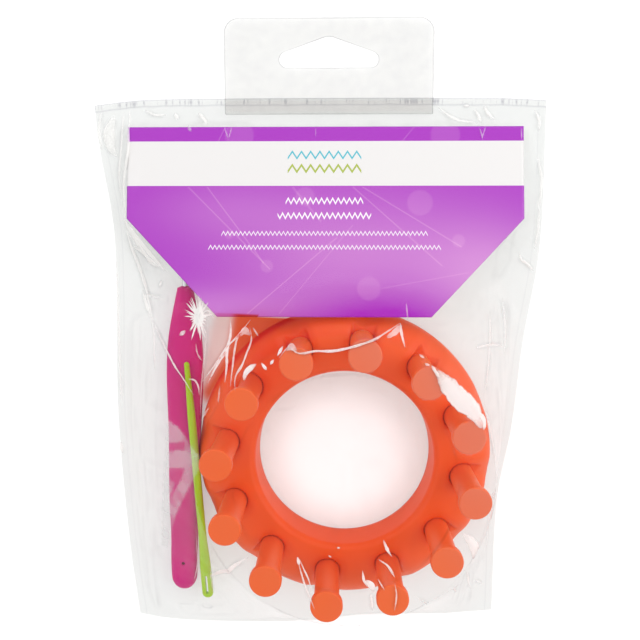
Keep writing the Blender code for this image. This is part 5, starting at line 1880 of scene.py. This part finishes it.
@dataclass
class HangTab:
    """The hang tab: one clear sheet, laid flat with a slight bow, whose foot is stuck to the pouch."""

    finish: ClearSheet = ClearSheet()
    glue: TackyStrip = TackyStrip()
    corner: float = 4.5 * MM
    foot_corner: float = 0.3 * MM
    hole_half_width: float = 15.5 * MM
    hole_height: float = 9.3 * MM
    hole_corner: float = 2.45 * MM
    hole_apex: float = 4.6 * MM
    hole_above_edge: float = 9.0 * MM
    thickness: float = 0.3 * MM
    bow: float = 0.25 * MM
    cut_width: float = 0.35 * MM
    glue_inset: float = 0.2 * MM
    glue_wander: float = 0.18 * MM
    steps: int = 420
    rows: int = 70

    def build_sheet(self) -> None:
        """The sheet: loops blended from the hole's outline to the sheet's, on its front and its back."""
        foot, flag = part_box("hang_tab_foot"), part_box("hang_tab")
        left, right, low, high = flag[0][0], flag[1][0], foot[0][1], flag[1][1]
        fold = (foot[1][1] + flag[0][1]) / 2
        middle, z = (left + right) / 2, (flag[0][2] + flag[1][2]) / 2
        upper, lower = (high, -1, self.corner), (low, 1, self.foot_corner)
        sheet = np.array([
            (x + inward * r, y + way * r, r)
            for y, way, r in (upper, lower)
            for x, inward in ((left, 1), (right, -1))
        ])
        side_y = fold + self.hole_above_edge + self.hole_corner
        side_x = self.hole_half_width - self.hole_corner
        apex_y = fold + self.hole_above_edge + self.hole_height - self.hole_apex
        hole = np.array([
            (middle - side_x, side_y, self.hole_corner), (middle + side_x, side_y, self.hole_corner),
            (middle, apex_y, self.hole_apex),
        ])
        centre = np.array([middle, side_y + 1.5 * MM])
        corners = [math.atan2(low - centre[1], x - centre[0]) % (2 * np.pi) for x in (left, right)]
        angle = np.sort(np.concatenate([circle(self.steps), corners]))
        inner, outer = hull_reach(hole, centre, angle), hull_reach(sheet, centre, angle)
        share = np.concatenate([np.linspace(0, 1, self.rows), np.linspace(1, 0, self.rows)])[:, None]
        reach = inner + (outer - inner) * share
        side = np.repeat([0.5, -0.5], self.rows)[:, None] * self.thickness
        x, y = centre[0] + reach * np.cos(angle), centre[1] + reach * np.sin(angle)
        off = (x - middle) / (right - middle)
        bow = self.bow * np.sin((y - low) / (high - low) * np.pi) * (off ** 2 - 0.4)
        points = np.stack([x, y, z + side + bow], axis=-1)
        faces = grid_faces(2 * self.rows, len(angle), True, True)
        tab = add_piece("hang_tab_sheet", points, [faces], self.finish.make())
        away = np.minimum(reach - inner, outer - reach)
        paint(tab, "cut", np.broadcast_to(1 - smooth(0.0, self.cut_width, away), points.shape[:2]))
        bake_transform(tab)
        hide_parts("hang_tab_foot", "hang_tab")

    def build_glue(self) -> None:
        """The adhesive: a thin strip along the foot whose long edges wander a little."""
        low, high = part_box("tab_adhesive")
        x = np.linspace(low[0], high[0], 200)[:, None]
        wander = [self.glue_wander * lattice_noise(x, 0 * x, 2.2 * MM, seed) for seed in (21, 22)]
        bottom, top = low[1] + self.glue_inset + wander[0], high[1] - self.glue_inset + wander[1]
        y = np.hstack([bottom, top, top, bottom])
        z = np.broadcast_to(np.array([low[2], low[2], high[2], high[2]]), y.shape)
        rings = np.stack([np.broadcast_to(x, y.shape), y, z], axis=-1)
        strip = add_loft("tab_adhesive_strip", rings, self.glue.make())
        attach(strip, "pouch")
        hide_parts("tab_adhesive")

    def build(self) -> None:
        """Make the sheet and its adhesive."""
        self.build_sheet()
        self.build_glue()


# ---------------------------------------------------------------- studio


@dataclass(frozen=True)
class Softbox:
    """A square diffused lamp that faces the middle of the pack."""

    name: str
    place: tuple[float, float, float]
    side: float
    power: float

    def hang(self) -> None:
        """Put the lamp in the scene."""
        light = bpy.data.lights.new(self.name, "AREA")
        light.shape = "SQUARE"
        light.size = self.side
        light.energy = self.power
        lamp = bpy.data.objects.new(self.name, light)
        lamp.location = self.place
        lamp.rotation_euler = (-lamp.location).to_track_quat("-Z", "Y").to_euler()
        bpy.context.scene.collection.objects.link(lamp)


def seen_directly(tree: NodeTree) -> NodeSocket:
    """1 for rays from the camera, and for those that a mirror or clear material sends on."""
    path = add(tree, "ShaderNodeLightPath")
    either = {0: path["Is Camera Ray"], 1: path["Is Glossy Ray"]}
    two = add(tree, "ShaderNodeMath", {}, either, operation="MAXIMUM")
    three = {0: two[0], 1: path["Is Transmission Ray"]}
    return add(tree, "ShaderNodeMath", {}, three, operation="MAXIMUM")[0]


@dataclass(frozen=True)
class SeamlessPaper(Finish):
    """Matt seamless background paper: it keeps the pack's shadow, and glows enough to be white beyond it."""

    name: str = "seamless paper, white"
    tones: tuple[str, str] = ("E6E6E6", "E9E9E9")
    fibre: float = 1.2 * MM
    glow: float = 0.3
    glow_seen: float = 0.47

    def shader(self, tree: NodeTree) -> NodeSocket:
        """The shader: it glows more where it is seen than on what lies near it."""
        place = add(tree, "ShaderNodeTexCoord")["Object"]
        fibre = add(tree, "ShaderNodeTexNoise", {"Scale": 1 / self.fibre}, {"Vector": place})["Fac"]
        tones = {6: linear(self.tones[0]), 7: linear(self.tones[1])}
        tone = add(tree, "ShaderNodeMix", tones, {"Factor": fibre}, data_type="RGBA")[2]
        paper = add(tree, "ShaderNodeBsdfDiffuse", {"Roughness": 0.8}, {"Color": tone})[0]
        levels = {2: self.glow, 3: self.glow_seen}
        level = add(tree, "ShaderNodeMix", levels, {0: seen_directly(tree)}, data_type="FLOAT")[0]
        glow = add(tree, "ShaderNodeEmission", {"Color": (1, 1, 1, 1)}, {"Strength": level})[0]
        return add(tree, "ShaderNodeAddShader", {}, {0: paper, 1: glow})[0]


@dataclass
class Studio:
    """Camera, lamps, world and floor."""

    camera_place: tuple[float, float, float] = (0.0055, 0.0365, 0.2386)
    camera_turn: tuple[float, float, float] = (math.radians(-7.38), math.radians(1.25), 0.0)
    lens: float = 41.03
    softboxes: tuple[Softbox, ...] = (
        Softbox("key_softbox", (0.55, 0.14, 0.38), 0.5, 1.5),
        Softbox("fill_softbox", (-0.50, 0.22, 0.42), 0.5, 0.75),
        Softbox("top_softbox", (0.05, 0.62, 0.42), 0.5, 0.7),
    )
    around: float = 0.76
    paper: SeamlessPaper = SeamlessPaper()
    floor_half: float = 2.0
    floor_steps: int = 21
    floor_below: float = 0.02 * MM

    def set_world(self) -> None:
        """An even light all round, and plain white where it is seen."""
        world = bpy.data.worlds.new("studio")
        bpy.context.scene.world = world
        world.use_nodes = True
        tree = world.node_tree
        tree.nodes.clear()
        levels = {2: self.around, 3: 1.0}
        level = add(tree, "ShaderNodeMix", levels, {0: seen_directly(tree)}, data_type="FLOAT")
        light = add(tree, "ShaderNodeBackground", {"Color": (1, 1, 1, 1)}, {"Strength": level[0]})
        add(tree, "ShaderNodeOutputWorld", {}, {0: light[0]}, is_active_output=True)

    def lay_floor(self) -> None:
        """A square of paper just below the pack."""
        x, y = np.meshgrid(*[np.linspace(-self.floor_half, self.floor_half, self.floor_steps)] * 2)
        add_field("floor", x, y, np.full_like(x, -self.floor_below), self.paper.make())

    def set_camera(self) -> None:
        """The camera, looking down on the pack's front."""
        lens = bpy.data.cameras.new("camera")
        lens.lens = self.lens
        lens.clip_start, lens.clip_end = 0.01, 20.0
        camera = bpy.data.objects.new("camera", lens)
        camera.location = self.camera_place
        camera.rotation_euler = self.camera_turn
        bpy.context.scene.collection.objects.link(camera)
        bpy.context.scene.camera = camera

    def build(self) -> None:
        """Set up the studio."""
        scene = bpy.context.scene
        scene.view_settings.view_transform = "Standard"
        scene.cycles.transparent_max_bounces = 24
        scene.cycles.max_bounces = 10
        self.set_camera()
        self.set_world()
        self.lay_floor()
        for box in self.softboxes:
            box.hang()


def main() -> None:
    """Build the studio and then each sub-assembly."""
    logging.basicConfig(level=logging.INFO, format="%(message)s")
    Studio().build()
    loom, hook, needle, card = Loom(), LoomHook(), YarnNeedle(), HeaderCard()
    for part in (loom, hook, needle, card, Pouch(loom, card, (hook, needle)), HangTab()):
        part.build()
    bpy.context.view_layer.update()


if __name__ == "__main__":
    main()
